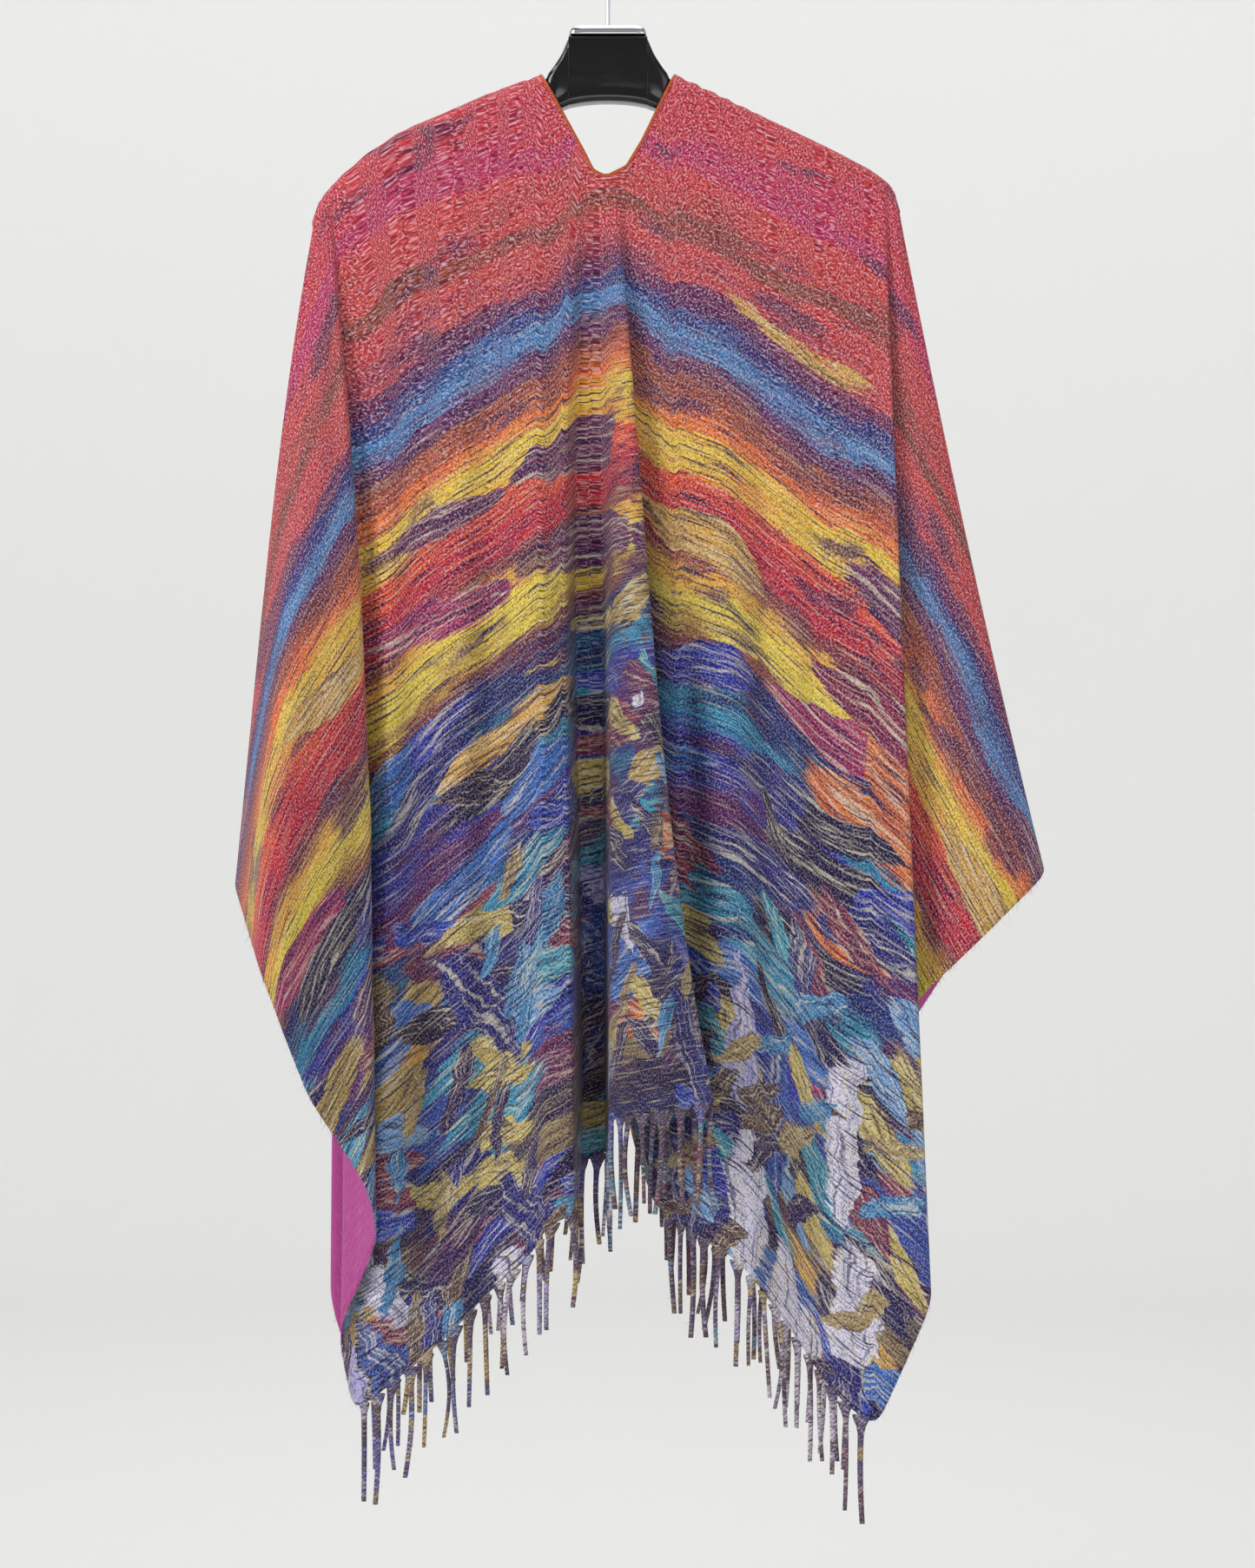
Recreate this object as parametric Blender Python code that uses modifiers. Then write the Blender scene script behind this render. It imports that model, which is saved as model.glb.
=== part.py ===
"""A ruana on a hanger: one fringed rectangle of thick brushed cloth, slit up the front, hung by its shoulder line.

The back of the garment faces -Y, the open front faces +Y, and the origin is the inside top of the hook.
Each cloth panel is a sheet ruled by lines that fan out from the shoulder, as hanging cloth does. A table
has one row for each fold line, and the sheet between them is straight, with the folds rounded.
"""
import math
from collections import namedtuple

import bpy
import numpy as np

MM = 0.001

# Driving sizes, in millimetres
WALL = 1.6
SEAM_GAP = 0.8
FOLD_ROOM = 7.0
SHOULDER_DROP = 16.0
FRINGE_LENGTH = 72.0
FRINGE_PITCH = 15.0
STRAND_WIDTH = 3.0
STRIP_HEIGHT = 2.4
STRIP_WIDTH = 1.9
STRAND_ROOM = 5.0
STEEPEST_HEM = 0.85
EDGE_GAP = 0.35
BINDING_WIDTH = 2.4
BINDING_GAP = 0.55

NECK_HALF_WIDTH = 48.0
NECK_Z = -111.5

# Heights down each fold line at which the sheet has a row of points: first in mm below the top, then shares
TOP_STEPS = (0.0, 0.8, 3.2, 8.0, 17.0)
SHARES = (0.06, 0.12, 0.19, 0.27, 0.36, 0.46, 0.56, 0.66, 0.76, 0.86, 0.94, 1.0)

Fold = namedtuple("Fold", "name x_top z_top x_upper x_lower x_end z_end y_top y_upper y_lower y_end bend")

# Back panel from the left side seam to the right one. Upper and lower are a third and two thirds of the way down.
BACK_FOLDS = [
    #    name              x_top   z_top   x_up   x_low   x_end    z_end  y_top y_up y_low y_end bend
    Fold("left seam", -210.5, -216.5, -182, -142, -104, -652, 0, 0, 0, 0, 0),
    Fold("left seam side", -210.4, -215.6, -182, -142, -104, -652, -4, -5, -7, -9, 6),
    Fold("left silhouette", -206.5, -204.0, -233, -250, -266, -682, -9, -9, -14, -20, 9),
    Fold("left wing crest", -204.8, -201.0, -209, -228, -233, -758, -13, -36, -84, -124, 18),
    Fold("left wing face", -202.9, -198.0, -193, -197, -205, -834, -13, -33, -72, -104, 0),
    Fold("left wing edge", -201.1, -195.5, -174, -160, -152, -918, -13, -33, -60, -84, 8),
    Fold("left under fold", -198.0, -191.8, -190, -188, -192, -1006, -13, -13, -21, -29, 9),
    Fold("left corner", -194.3, -188.1, -184, -181, -179, -1059, -13, -14, -23, -32, 0),
    Fold("left crest", -188.7, -181.9, -154, -151, -150, -1036, -13, -22, -40, -56, 14),
    Fold("left trough", -151.6, -153.9, -136, -133, -131, -1022, -13, -17, -25, -34, 14),
    Fold("left soft crest", -111.3, -136.2, -106, -104, -103, -995, -13, -23, -40, -54, 18),
    Fold("left soft trough", -86.6, -126.0, -79, -78, -77, -967, -13, -18, -27, -36, 14),
    Fold("strip left edge", -63.1, -117.4, -65, -59, -56, -950, -13, -22, -42, -60, 9),
    Fold("left neck point", -NECK_HALF_WIDTH, NECK_Z, -48, -45, -42, -926, -13, -23, -44, -64, 0),
    Fold("strip right edge", -17.3, -167.4, -30, -27, -24, -917, -13, -20, -40, -58, 7),
    Fold("recess left", -11.0, -180.1, -23.6, -21.2, -20, -888, -13, 4, 16, 30, 7),
    Fold("recess right", -6.5, -182.9, -3.4, -2.2, -1, -883, -13, 5, 18, 32, 7),
    Fold("flap left edge", -2.8, -184.3, 3.8, 3.3, 2, -851, -13, -20, -44, -68, 7),
    Fold("flap face", 0.0, -184.4, 13.6, 22.7, 38, -841, -13, -37, -78, -118, 22),
    Fold("flap right edge", 2.8, -183.2, 24.1, 43.5, 77, -836, -13, -31, -58, -86, 8),
    Fold("under flap", 13.5, -177.9, 7.9, 8.9, 12, -885, -13, -3, 0, 3, 9),
    Fold("right of V", 24.8, -159.2, 28.8, 30.7, 33, -917, -13, -7, -1, 2, 0),
    Fold("right neck point", NECK_HALF_WIDTH, NECK_Z, 49, 52, 55, -930, -13, -14, -22, -30, 0),
    Fold("right strip edge", 71.2, -122.5, 84, 95, 93, -951, -13, -21, -43, -64, 9),
    Fold("right trough", 111.4, -141.6, 117, 123, 125, -995, -13, -16, -23, -30, 14),
    Fold("right crest", 154.7, -162.2, 155, 155, 159, -1046, -13, -24, -42, -58, 18),
    Fold("right corner", 185.7, -178.3, 187, 187, 188, -1067, -13, -24, -45, -60, 0),
    Fold("right main edge", 195.6, -185.4, 207, 219, 231, -971, -13, -28, -46, -62, 8),
    Fold("right under fold", 199.3, -188.6, 184, 160, 137, -878, -13, -12, -19, -2, 9),
    Fold("right wing near", 201.7, -191.2, 213, 222, 223, -765, -13, -14, -20, -26, 0),
    Fold("right wing bend", 203.0, -193.6, 224, 244, 264, -724, -13, -17, -30, -46, 16),
    Fold("right silhouette", 204.8, -198.5, 240, 277, 317, -674, -9, -7, -12, -16, 12),
    Fold("right seam side", 207.8, -207.9, 179, 147, 112, -644, -4, -4, -5, -6, 6),
    Fold("right seam", 207.9, -208.6, 179, 147, 112, -644, 0, 0, 0, 0, 0),
]

# Front panels from their free edge at the middle out to the side seam, with y towards the front
FRONT_LEFT_FOLDS = [
    #    name              x_top   z_top   x_up   x_low   x_end    z_end  y_top y_up y_low y_end bend
    Fold("free edge", -8.0, -186.0, -9, -11, -14, -838, 13, 34, 72, 116, 0),
    Fold("edge fold outer", -11.5, -177.5, -38, -76, -114, -857, 13, 29, 64, 104, 9),
    Fold("edge fold inner", -17.0, -168.5, -16, -19, -24, -880, 13, 15, 38, 62, 9),
    Fold("neck point", -NECK_HALF_WIDTH, NECK_Z, -51, -58, -66, -926, 13, 18, 36, 54, 0),
    Fold("soft crest", -98.0, -130.7, -101, -104, -106, -975, 13, 30, 56, 76, 20),
    Fold("soft trough", -140.0, -147.9, -140, -142, -144, -1003, 13, 18, 28, 34, 16),
    Fold("crest", -172.0, -167.2, -168, -164, -158, -1030, 13, 24, 46, 62, 14),
    Fold("corner", -194.3, -188.1, -189, -185, -181, -1048, 13, 14, 20, 26, 0),
    Fold("under fold", -198.0, -191.8, -196, -200, -205, -976, 13, 13, 21, 29, 9),
    Fold("wing edge", -201.1, -195.5, -180, -166, -156, -902, 13, 34, 60, 82, 8),
    Fold("wing crest", -204.8, -201.0, -210, -222, -232, -757, 13, 38, 88, 134, 18),
    Fold("silhouette", -206.5, -204.0, -226, -242, -256, -676, 9, 9, 14, 20, 9),
    Fold("seam side", -210.4, -215.6, -182, -142, -104, -652, 4, 5, 7, 9, 6),
    Fold("seam", -210.5, -216.5, -182, -142, -104, -652, 0, 0, 0, 0, 0),
]

FRONT_RIGHT_FOLDS = [
    #    name              x_top   z_top   x_up   x_low   x_end    z_end  y_top y_up y_low y_end bend
    Fold("free edge", 10.5, -186.0, 9, 12, 17, -840, 13, 33, 66, 104, 0),
    Fold("edge fold outer", 14.6, -177.5, 36, 70, 104, -853, 13, 29, 60, 94, 9),
    Fold("edge fold inner", 20.2, -168.5, 15, 19, 26, -876, 13, 15, 34, 54, 9),
    Fold("neck point", NECK_HALF_WIDTH, NECK_Z, 50, 54, 60, -922, 13, 17, 34, 50, 0),
    Fold("soft crest", 92.0, -132.4, 94, 98, 102, -962, 13, 31, 60, 82, 22),
    Fold("soft trough", 132.0, -151.4, 134, 136, 138, -1000, 13, 17, 27, 32, 16),
    Fold("crest", 166.0, -167.6, 164, 162, 160, -1034, 13, 24, 46, 64, 14),
    Fold("corner", 190.0, -181.2, 188, 186, 184, -1052, 13, 14, 20, 26, 0),
    Fold("under fold", 196.5, -186.2, 200, 206, 210, -984, 13, 14, 22, 30, 9),
    Fold("wing edge", 200.0, -189.4, 183, 168, 154, -894, 13, 29, 54, 76, 8),
    Fold("wing crest", 203.0, -193.6, 218, 238, 256, -748, 13, 36, 84, 130, 18),
    Fold("silhouette", 204.8, -198.5, 234, 266, 300, -668, 9, 9, 14, 20, 9),
    Fold("seam side", 207.8, -207.9, 179, 147, 112, -644, 4, 5, 7, 9, 6),
    Fold("seam", 207.9, -208.6, 179, 147, 112, -644, 0, 0, 0, 0, 0),
]

# Across from the neck point, the slit's edge has these extra columns where it turns over the shoulder
SLIT_COLUMNS = (42.6, 36.0)

# Hanger: its top line from the middle to the tip, the line below it and half its thickness
Station = namedtuple("Station", "x z_top z_bottom half_depth squareness")
HANGER_STATIONS = [
    #       x      z_top    z_bottom  half_depth squareness
    Station(0, -83.8, -130.5, 11.5, 0.6),
    Station(15, -83.8, -131.2, 11.5, 0.6),
    Station(26.5, -83.8, -133.4, 11.3, 0.65),
    Station(29.0, -89.2, -134.2, 10.6, 0.7),
    Station(33, -97.0, -135.4, 9.8, 0.8),
    Station(38.5, -105.5, -137.0, 8.6, 0.9),
    Station(41.5, -110.5, -138.2, 7.8, 1.0),
    Station(44.0, -115.0, -139.4, 7.4, 1.0),
    Station(49, -118.2, -142.0, 7.6, 1.0),
    Station(60, -121.5, -147.0, 8.6, 1.0),
    Station(100, -139.2, -163.5, 9.4, 1.0),
    Station(150, -163.0, -186.0, 9.4, 1.0),
    Station(179, -176.8, -198.5, 9.0, 1.0),
    Station(191, -186.5, -202.5, 7.4, 1.0),
    Station(196.5, -193.0, -201.5, 4.4, 1.0),
]
HANGER_SIDES = 14
CAP_HALF_WIDTH = 28.0
CAP_TOP_HALF_WIDTH = 23.5
CAP_HALF_DEPTH = 12.6
CAP_BOTTOM_Z = -83.4
CAP_TOP_Z = -77.2
HOOK_RADIUS = 20.0
HOOK_WIRE = 3.0
HOOK_STEM_TOP_Z = -52.0

COLOURS = {
    "cloth": ((0.42, 0.05, 0.06, 1.0), 0.9, 0.0),
    "fringe": ((0.10, 0.12, 0.30, 1.0), 0.9, 0.0),
    "binding": ((0.60, 0.10, 0.02, 1.0), 0.6, 0.0),
    "black plastic": ((0.01, 0.01, 0.012, 1.0), 0.15, 0.0),
    "chrome": ((0.80, 0.80, 0.82, 1.0), 0.10, 1.0),
}


def clear_scene():
    for obj in list(bpy.data.objects):
        bpy.data.objects.remove(obj, do_unlink=True)


def material(name):
    """A plain finish: colour, roughness and metallic value."""
    colour, roughness, metallic = COLOURS[name]
    made = bpy.data.materials.get(name) or bpy.data.materials.new(name)
    made.use_nodes = True
    shader = made.node_tree.nodes["Principled BSDF"]
    shader.inputs["Base Color"].default_value = colour
    shader.inputs["Roughness"].default_value = roughness
    shader.inputs["Metallic"].default_value = metallic
    return made


def add_object(name, data, finish, collection):
    obj = bpy.data.objects.new(name, data)
    collection.objects.link(obj)
    data.materials.append(material(finish))
    return obj


def mesh_from(name, points_mm, faces):
    mesh = bpy.data.meshes.new(name)
    mesh.from_pydata((np.asarray(points_mm) * MM).tolist(), [], faces)
    mesh.update()
    return mesh


def cubic_through(levels, top, upper, lower, end):
    """The cubic that takes the four values at 0, a third, two thirds and the whole way down."""
    t = levels
    return (
        top * (1 - 3 * t) * (2 - 3 * t) * (1 - t) / 2
        + upper * 9 * t * (2 - 3 * t) * (1 - t) / 2
        - lower * 9 * t * (1 - 3 * t) * (1 - t) / 2
        + end * t * (1 - 3 * t) * (2 - 3 * t) / 2
    )


def over_shoulder(drop):
    """From 0 on the shoulder line to 1 where the cloth hangs clear of the hanger: a quarter of an ellipse."""
    left = np.clip(1 - drop / SHOULDER_DROP, 0, 1)
    return np.sqrt(1 - left**2)


def fold_line(fold, facing):
    """Points down one fold line, and how far each is below the shoulder line."""
    height = fold.z_top - fold.z_end
    drop = np.concatenate([TOP_STEPS, np.array(SHARES) * height])
    share = drop / height
    x = cubic_through(share, fold.x_top, fold.x_upper, fold.x_lower, fold.x_end)
    y = cubic_through(share, fold.y_top, fold.y_upper, fold.y_lower, fold.y_end)
    below = drop + max(0.0, NECK_Z - fold.z_top) * (abs(fold.x_top) < NECK_HALF_WIDTH)
    y = y * over_shoulder(below) + facing * SEAM_GAP / 2
    return np.stack([x, y, fold.z_top - drop], axis=1), share


def with_slit_columns(folds):
    """The folds with plain columns added on the slit's edge beside each neck point, where it turns over."""
    added = [folds[0]]
    for fold, follower in zip(folds, folds[1:]):
        outer, inner = sorted((fold, follower), key=lambda one: -abs(one.x_top))
        if "neck point" in outer.name:
            places = SLIT_COLUMNS if outer is fold else SLIT_COLUMNS[::-1]
            for place in places:
                share = (NECK_HALF_WIDTH - place) / (NECK_HALF_WIDTH - abs(inner.x_top))
                values = [a + (b - a) * share for a, b in zip(outer[1:-1], inner[1:-1])]
                added.append(Fold("slit edge", *values, 0))
        added.append(follower)
    return added


def rounded_columns(folds, facing):
    """The panel's columns: each fold line with a bend becomes three, so that the fold is round in section."""
    lines = [fold_line(fold, facing) for fold in folds]
    columns = []
    for place, (fold, (points, share)) in enumerate(zip(folds, lines)):
        if fold.bend == 0:
            columns.append(points)
            continue
        reach = fold.bend * (0.12 + 0.88 * share)[:, None]
        sides = []
        for neighbour in (place - 1, place + 1):
            way = lines[neighbour][0] - points
            length = np.linalg.norm(way[:, :2], axis=1, keepdims=True)
            sides.append(points + way * np.minimum(0.42, reach / np.maximum(length, 1e-6)))
        middle = 0.35 * sides[0] + 0.3 * points + 0.35 * sides[1]
        across = (sides[1] - sides[0]) * [1, 1, 0]
        width = np.linalg.norm(across, axis=1, keepdims=True)
        room = np.minimum(FOLD_ROOM, 1.2 * reach)
        spread = across / width * np.maximum(0, room - width) / 2
        sides = [sides[0] - spread, sides[1] + spread]
        columns += [sides[0], middle, sides[1]]
    return np.array(columns)


def build_panel(name, folds, facing, collection):
    """A cloth panel: the columns as an open sheet, given its thickness half to each side."""
    columns = rounded_columns(folds, facing)
    wide, high = columns.shape[:2]
    first = np.arange(wide * high).reshape(wide, high)
    corners = np.stack([first[:-1, :-1], first[:-1, 1:], first[1:, 1:], first[1:, :-1]], axis=-1).reshape(-1, 4)
    obj = add_object(name, mesh_from(name, columns.reshape(-1, 3), corners.tolist()), "cloth", collection)
    wall = obj.modifiers.new("Cloth thickness", "SOLIDIFY")
    wall.thickness = WALL * MM
    wall.offset = 0
    obj.data.shade_smooth()
    return columns


def along(path, places):
    """The points at these distances along a path."""
    steps = np.linalg.norm(np.diff(path, axis=0), axis=1)
    length = np.concatenate([[0], np.cumsum(steps)])
    return np.stack([np.interp(places, length, path[:, axis]) for axis in range(3)], axis=1)


def hem_of(columns, folds, first_corner, last_corner):
    """The bottom edge between the two named corners, where the fringe hangs, not the side edges."""
    starts = np.cumsum([0] + [3 if fold.bend else 1 for fold in folds])
    names = [fold.name for fold in folds]
    return columns[starts[names.index(first_corner)] : starts[names.index(last_corner)] + 1, -1]


def strand_places(hem):
    """Where along the hem each strand starts: at an even pitch, but not where a fold leaves it no room to hang, or
    where the hem falls so steeply that a strand would lie on the strip beside it."""
    length = np.linalg.norm(np.diff(hem, axis=0), axis=1).sum()
    count = int((length - STRAND_WIDTH) // FRINGE_PITCH)
    starts = (length - count * FRINGE_PITCH) / 2 + (np.arange(count) + 0.35) * FRINGE_PITCH
    every = np.arange(0, length, 1.0)
    cloth = along(hem, every)
    kept = []
    for start in starts:
        middle = start + STRAND_WIDTH / 2
        point = along(hem, np.array([middle]))[0]
        turned = [along(hem, np.array([middle + step]))[0] - point for step in (-5.0, 5.0)]
        straight = -np.dot(turned[0][:2], turned[1][:2]) / np.prod([np.linalg.norm(way[:2]) for way in turned])
        fall = abs(turned[0][2] - turned[1][2]) / 10.0
        away = np.linalg.norm(cloth[:, :2] - point[:2], axis=1)
        beneath = (np.abs(every - middle) > 9.0) & (away < STRAND_ROOM)
        if straight > 0.75 and fall < STEEPEST_HEM and not beneath.any():
            kept.append(start)
    return np.array(kept), length


def build_fringe(name, hem, seed, collection):
    """A strip of triangular section along the hem, whose underside runs down into a tapered strand at each pitch."""
    starts, length = strand_places(hem)
    corners = np.cumsum(np.linalg.norm(np.diff(hem, axis=0), axis=1))[:-1]
    rooted = np.concatenate([[-99.0], starts])
    since = corners - rooted[np.searchsorted(rooted, corners) - 1]
    until = np.append(rooted, length)[np.searchsorted(rooted, corners)] - corners
    corners = corners[(since > STRAND_WIDTH + 0.8) & (until > 0.8) & (corners > 2)]
    places = np.sort(np.concatenate([[1.0], starts, starts + STRAND_WIDTH, corners, [length - 1.0]]))
    middle = along(hem, places)
    ahead = along(hem, np.minimum(places + 2.0, length)) - along(hem, np.maximum(places - 2.0, 0))
    side = np.stack([-ahead[:, 1], ahead[:, 0], np.zeros(len(places))], axis=1)
    side /= np.linalg.norm(side, axis=1, keepdims=True)
    slope = np.abs(ahead[:, 2]) / np.linalg.norm(ahead[:, :2], axis=1)
    down = np.array([0, 0, -1.0])
    ridge = middle + down * (WALL / 4 + EDGE_GAP * np.sqrt(1 + slope**2))[:, None]
    outer = ridge + down * STRIP_HEIGHT - side * STRIP_WIDTH / 2
    inner = ridge + down * STRIP_HEIGHT + side * STRIP_WIDTH / 2
    points = np.stack([ridge, outer, inner], axis=1).reshape(-1, 3).tolist()
    last = len(points) - 3
    rng = np.random.default_rng(seed)
    faces = [(0, 1, 2), (last + 2, last + 1, last)]
    for step in range(len(places) - 1):
        a, b = 3 * step, 3 * step + 3
        faces += [(a, b, b + 1, a + 1), (a, a + 2, b + 2, b)]
        if places[step] not in starts:
            faces.append((a + 1, b + 1, b + 2, a + 2))
            continue
        root = [a + 1, a + 2, b + 2, b + 1]
        base = np.array([points[k] for k in root])
        lean = rng.normal(0, 1.3, 2).clip(-2, 2)
        drop = FRINGE_LENGTH * rng.uniform(0.9, 1.08)
        tip = base.mean(axis=0) + [lean[0], lean[1], -drop]
        end = tip + 0.45 * (base - base.mean(axis=0)) * [1, 1, 0]
        here = len(points)
        points += end.tolist()
        faces += [(root[(k + 1) % 4], root[k], here + k, here + (k + 1) % 4) for k in range(4)]
        faces.append((here + 3, here + 2, here + 1, here))
    return turn_outwards(add_object(name, mesh_from(name, points, faces), "fringe", collection))


def slit_edge(folds, facing):
    """The top of each fold line from neck point to neck point, or to the V's foot on a front panel."""
    return np.array([fold_line(fold, facing)[0][0] for fold in folds if abs(fold.x_top) <= NECK_HALF_WIDTH])


def away_from_slit(edge):
    """The way out of the cloth at the slit's edge: across the V and a little up, and straight up at its foot."""
    share = np.clip(np.abs(edge[:, 0]) / 8.0, 0, 1)
    return np.stack([-np.sign(edge[:, 0]) * 0.87 * share, np.zeros(len(edge)), 1 - 0.51 * share], axis=1)


def build_binding(name, edge, away, collection):
    """A folded strip as a square bar along a slit edge, just outside the cloth's edge."""
    ahead = np.gradient(edge, axis=0)
    for end in (0, -1):
        if abs(edge[end, 0]) > NECK_HALF_WIDTH - 1:
            ahead[end] = [0, np.sign(ahead[end, 1]), 0]
    ahead /= np.linalg.norm(ahead, axis=1, keepdims=True)
    across = away - ahead * (away * ahead).sum(axis=1, keepdims=True)
    across /= np.linalg.norm(across, axis=1, keepdims=True)
    depth = np.cross(ahead, across)
    near = np.where(np.abs(edge[:, :1]) > SLIT_COLUMNS[1] - 1, 2 * BINDING_GAP, BINDING_GAP)
    far = near + BINDING_WIDTH
    half = BINDING_WIDTH / 2
    ring = [(near, -half), (far, -half), (far, half), (near, half)]
    points = np.stack([edge + across * a + depth * d for a, d in ring], axis=1)
    faces = []
    for step in range(len(edge) - 1):
        for k in range(4):
            faces.append((4 * step + k, 4 * step + (k + 1) % 4, 4 * step + 4 + (k + 1) % 4, 4 * step + 4 + k))
    last = 4 * (len(edge) - 1)
    faces += [(3, 2, 1, 0), (last, last + 1, last + 2, last + 3)]
    obj = add_object(name, mesh_from(name, points.reshape(-1, 3), faces), "binding", collection)
    return turn_outwards(obj)


def turn_outwards(obj):
    """Faces of a closed mesh turned to point out."""
    obj.data.update()
    points = np.array([vertex.co for vertex in obj.data.vertices])
    volume = 0.0
    for face in obj.data.polygons:
        first = points[face.vertices[0]]
        for b, c in zip(face.vertices[1:-1], face.vertices[2:]):
            volume += np.dot(first, np.cross(points[b], points[c]))
    if volume < 0:
        obj.data.flip_normals()
    return obj


def build_hanger_body(collection):
    """Superellipse sections carried from tip to tip between the hanger's top and bottom lines."""
    left = [station._replace(x=-station.x) for station in HANGER_STATIONS[:0:-1]]
    turn = (np.arange(HANGER_SIDES) + 0.5) * 2 * math.pi / HANGER_SIDES
    rings = []
    for station in left + HANGER_STATIONS:
        c = np.sign(np.cos(turn)) * np.abs(np.cos(turn)) ** station.squareness
        s = np.sign(np.sin(turn)) * np.abs(np.sin(turn)) ** station.squareness
        middle = (station.z_top + station.z_bottom) / 2
        half = (station.z_top - station.z_bottom) / 2
        x = np.full(HANGER_SIDES, float(station.x))
        rings.append(np.stack([x, station.half_depth * c, middle + half * s], axis=1))
    points = np.concatenate(rings)
    faces = []
    for ring in range(len(rings) - 1):
        a, b = ring * HANGER_SIDES, (ring + 1) * HANGER_SIDES
        for k in range(HANGER_SIDES):
            nxt = (k + 1) % HANGER_SIDES
            faces.append((a + k, b + k, b + nxt, a + nxt))
    faces.append(tuple(range(HANGER_SIDES)))
    faces.append(tuple(range(len(points) - 1, len(points) - 1 - HANGER_SIDES, -1)))
    return turn_outwards(add_object("hanger_body", mesh_from("hanger_body", points, faces), "black plastic", collection))


def build_hanger_cap(collection):
    """A short block, narrower at its top, with rounded edges."""
    bpy.ops.mesh.primitive_cube_add(size=2)
    obj = bpy.context.object
    obj.name = obj.data.name = "hanger_cap"
    for vertex in obj.data.vertices:
        up = vertex.co.z > 0
        vertex.co.x *= (CAP_TOP_HALF_WIDTH if up else CAP_HALF_WIDTH) * MM
        vertex.co.y *= CAP_HALF_DEPTH * MM
        vertex.co.z = (CAP_TOP_Z if up else CAP_BOTTOM_Z) * MM
    rounding = obj.modifiers.new("Rounded edges", "BEVEL")
    rounding.width = 1.8 * MM
    rounding.segments = 3
    obj.data.materials.append(material("chrome"))
    for owner in list(obj.users_collection):
        owner.objects.unlink(obj)
    collection.objects.link(obj)
    return obj


def build_hook(collection):
    """Wire up from the cap, out to one side and over in an open round hook whose inside top is the origin."""
    centre_z = HOOK_WIRE / 2 - HOOK_RADIUS
    stem = [(0.0, CAP_TOP_Z + 0.3), (0.0, -64.0), (0.0, -57.0), (-1.2, HOOK_STEM_TOP_Z), (-6.5, -43.5), (-13.5, -35.5)]
    angles = np.radians(np.linspace(212, -25, 18))
    loop = [(HOOK_RADIUS * math.cos(a), centre_z + HOOK_RADIUS * math.sin(a)) for a in angles]
    curve = bpy.data.curves.new("hanger_hook", "CURVE")
    curve.dimensions = "3D"
    curve.bevel_depth = HOOK_WIRE / 2 * MM
    curve.bevel_resolution = 2
    curve.use_fill_caps = True
    spline = curve.splines.new("POLY")
    route = stem + loop
    spline.points.add(len(route) - 1)
    for point, (x, z) in zip(spline.points, route):
        point.co = (x * MM, 0.0, z * MM, 1.0)
    return add_object("hanger_hook", curve, "chrome", collection)


def main():
    clear_scene()
    collection = bpy.data.collections.new("Ruana on a hanger")
    bpy.context.scene.collection.children.link(collection)

    back_folds, left_folds, right_folds = (
        with_slit_columns(folds) for folds in (BACK_FOLDS, FRONT_LEFT_FOLDS, FRONT_RIGHT_FOLDS)
    )
    back = build_panel("back_panel", back_folds, -1, collection)
    left = build_panel("front_left_panel", left_folds, 1, collection)
    right = build_panel("front_right_panel", right_folds, 1, collection)

    build_fringe("back_fringe", hem_of(back, back_folds, "left corner", "right corner"), 1, collection)
    build_fringe("front_left_fringe", hem_of(left, left_folds, "free edge", "corner")[::-1], 2, collection)
    build_fringe("front_right_fringe", hem_of(right, right_folds, "free edge", "corner"), 3, collection)

    slit = slit_edge(back_folds, -1)
    build_binding("neck_binding", slit, away_from_slit(slit), collection)
    for side, panel, folds in (("left", left, left_folds), ("right", right, right_folds)):
        slit = slit_edge(folds, 1)[::-1]
        edge = np.concatenate([slit, panel[0, 3:]])
        away = np.concatenate([away_from_slit(slit), panel[0, 3:] - panel[1, 3:]])
        build_binding(f"front_binding_{side}", edge, away, collection)

    build_hanger_body(collection)
    build_hanger_cap(collection)
    build_hook(collection)


main()
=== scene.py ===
"""The looks of a ruana on a hanger: folds, print, nap, raw edges, fringe, binding and the hanger's finishes.

The garment's back faces -Y and its open front +Y. The tables give sizes in millimetres, as a tailor would,
and the mesh functions turn them to metres. Each panel is a sheet ruled by fold lines that fan out from the
shoulder. Its UV map "flat" says where each point lies on the uncut cloth, in metres across and down from the
shoulder line.
"""
import math
from collections import namedtuple

import bpy
import numpy as np
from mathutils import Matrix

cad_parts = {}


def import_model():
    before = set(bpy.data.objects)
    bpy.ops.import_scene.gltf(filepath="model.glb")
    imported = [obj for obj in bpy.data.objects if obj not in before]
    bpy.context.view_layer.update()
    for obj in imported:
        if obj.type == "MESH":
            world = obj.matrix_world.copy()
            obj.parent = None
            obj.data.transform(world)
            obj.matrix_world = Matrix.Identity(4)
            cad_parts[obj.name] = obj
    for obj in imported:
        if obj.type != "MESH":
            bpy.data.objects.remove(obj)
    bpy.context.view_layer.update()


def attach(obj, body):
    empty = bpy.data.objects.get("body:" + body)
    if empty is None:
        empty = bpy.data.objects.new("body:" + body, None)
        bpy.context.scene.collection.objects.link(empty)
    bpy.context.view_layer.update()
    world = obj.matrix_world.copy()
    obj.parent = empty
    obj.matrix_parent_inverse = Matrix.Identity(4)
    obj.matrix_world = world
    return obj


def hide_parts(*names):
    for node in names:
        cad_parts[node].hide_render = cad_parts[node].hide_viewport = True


MM = 0.001

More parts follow.
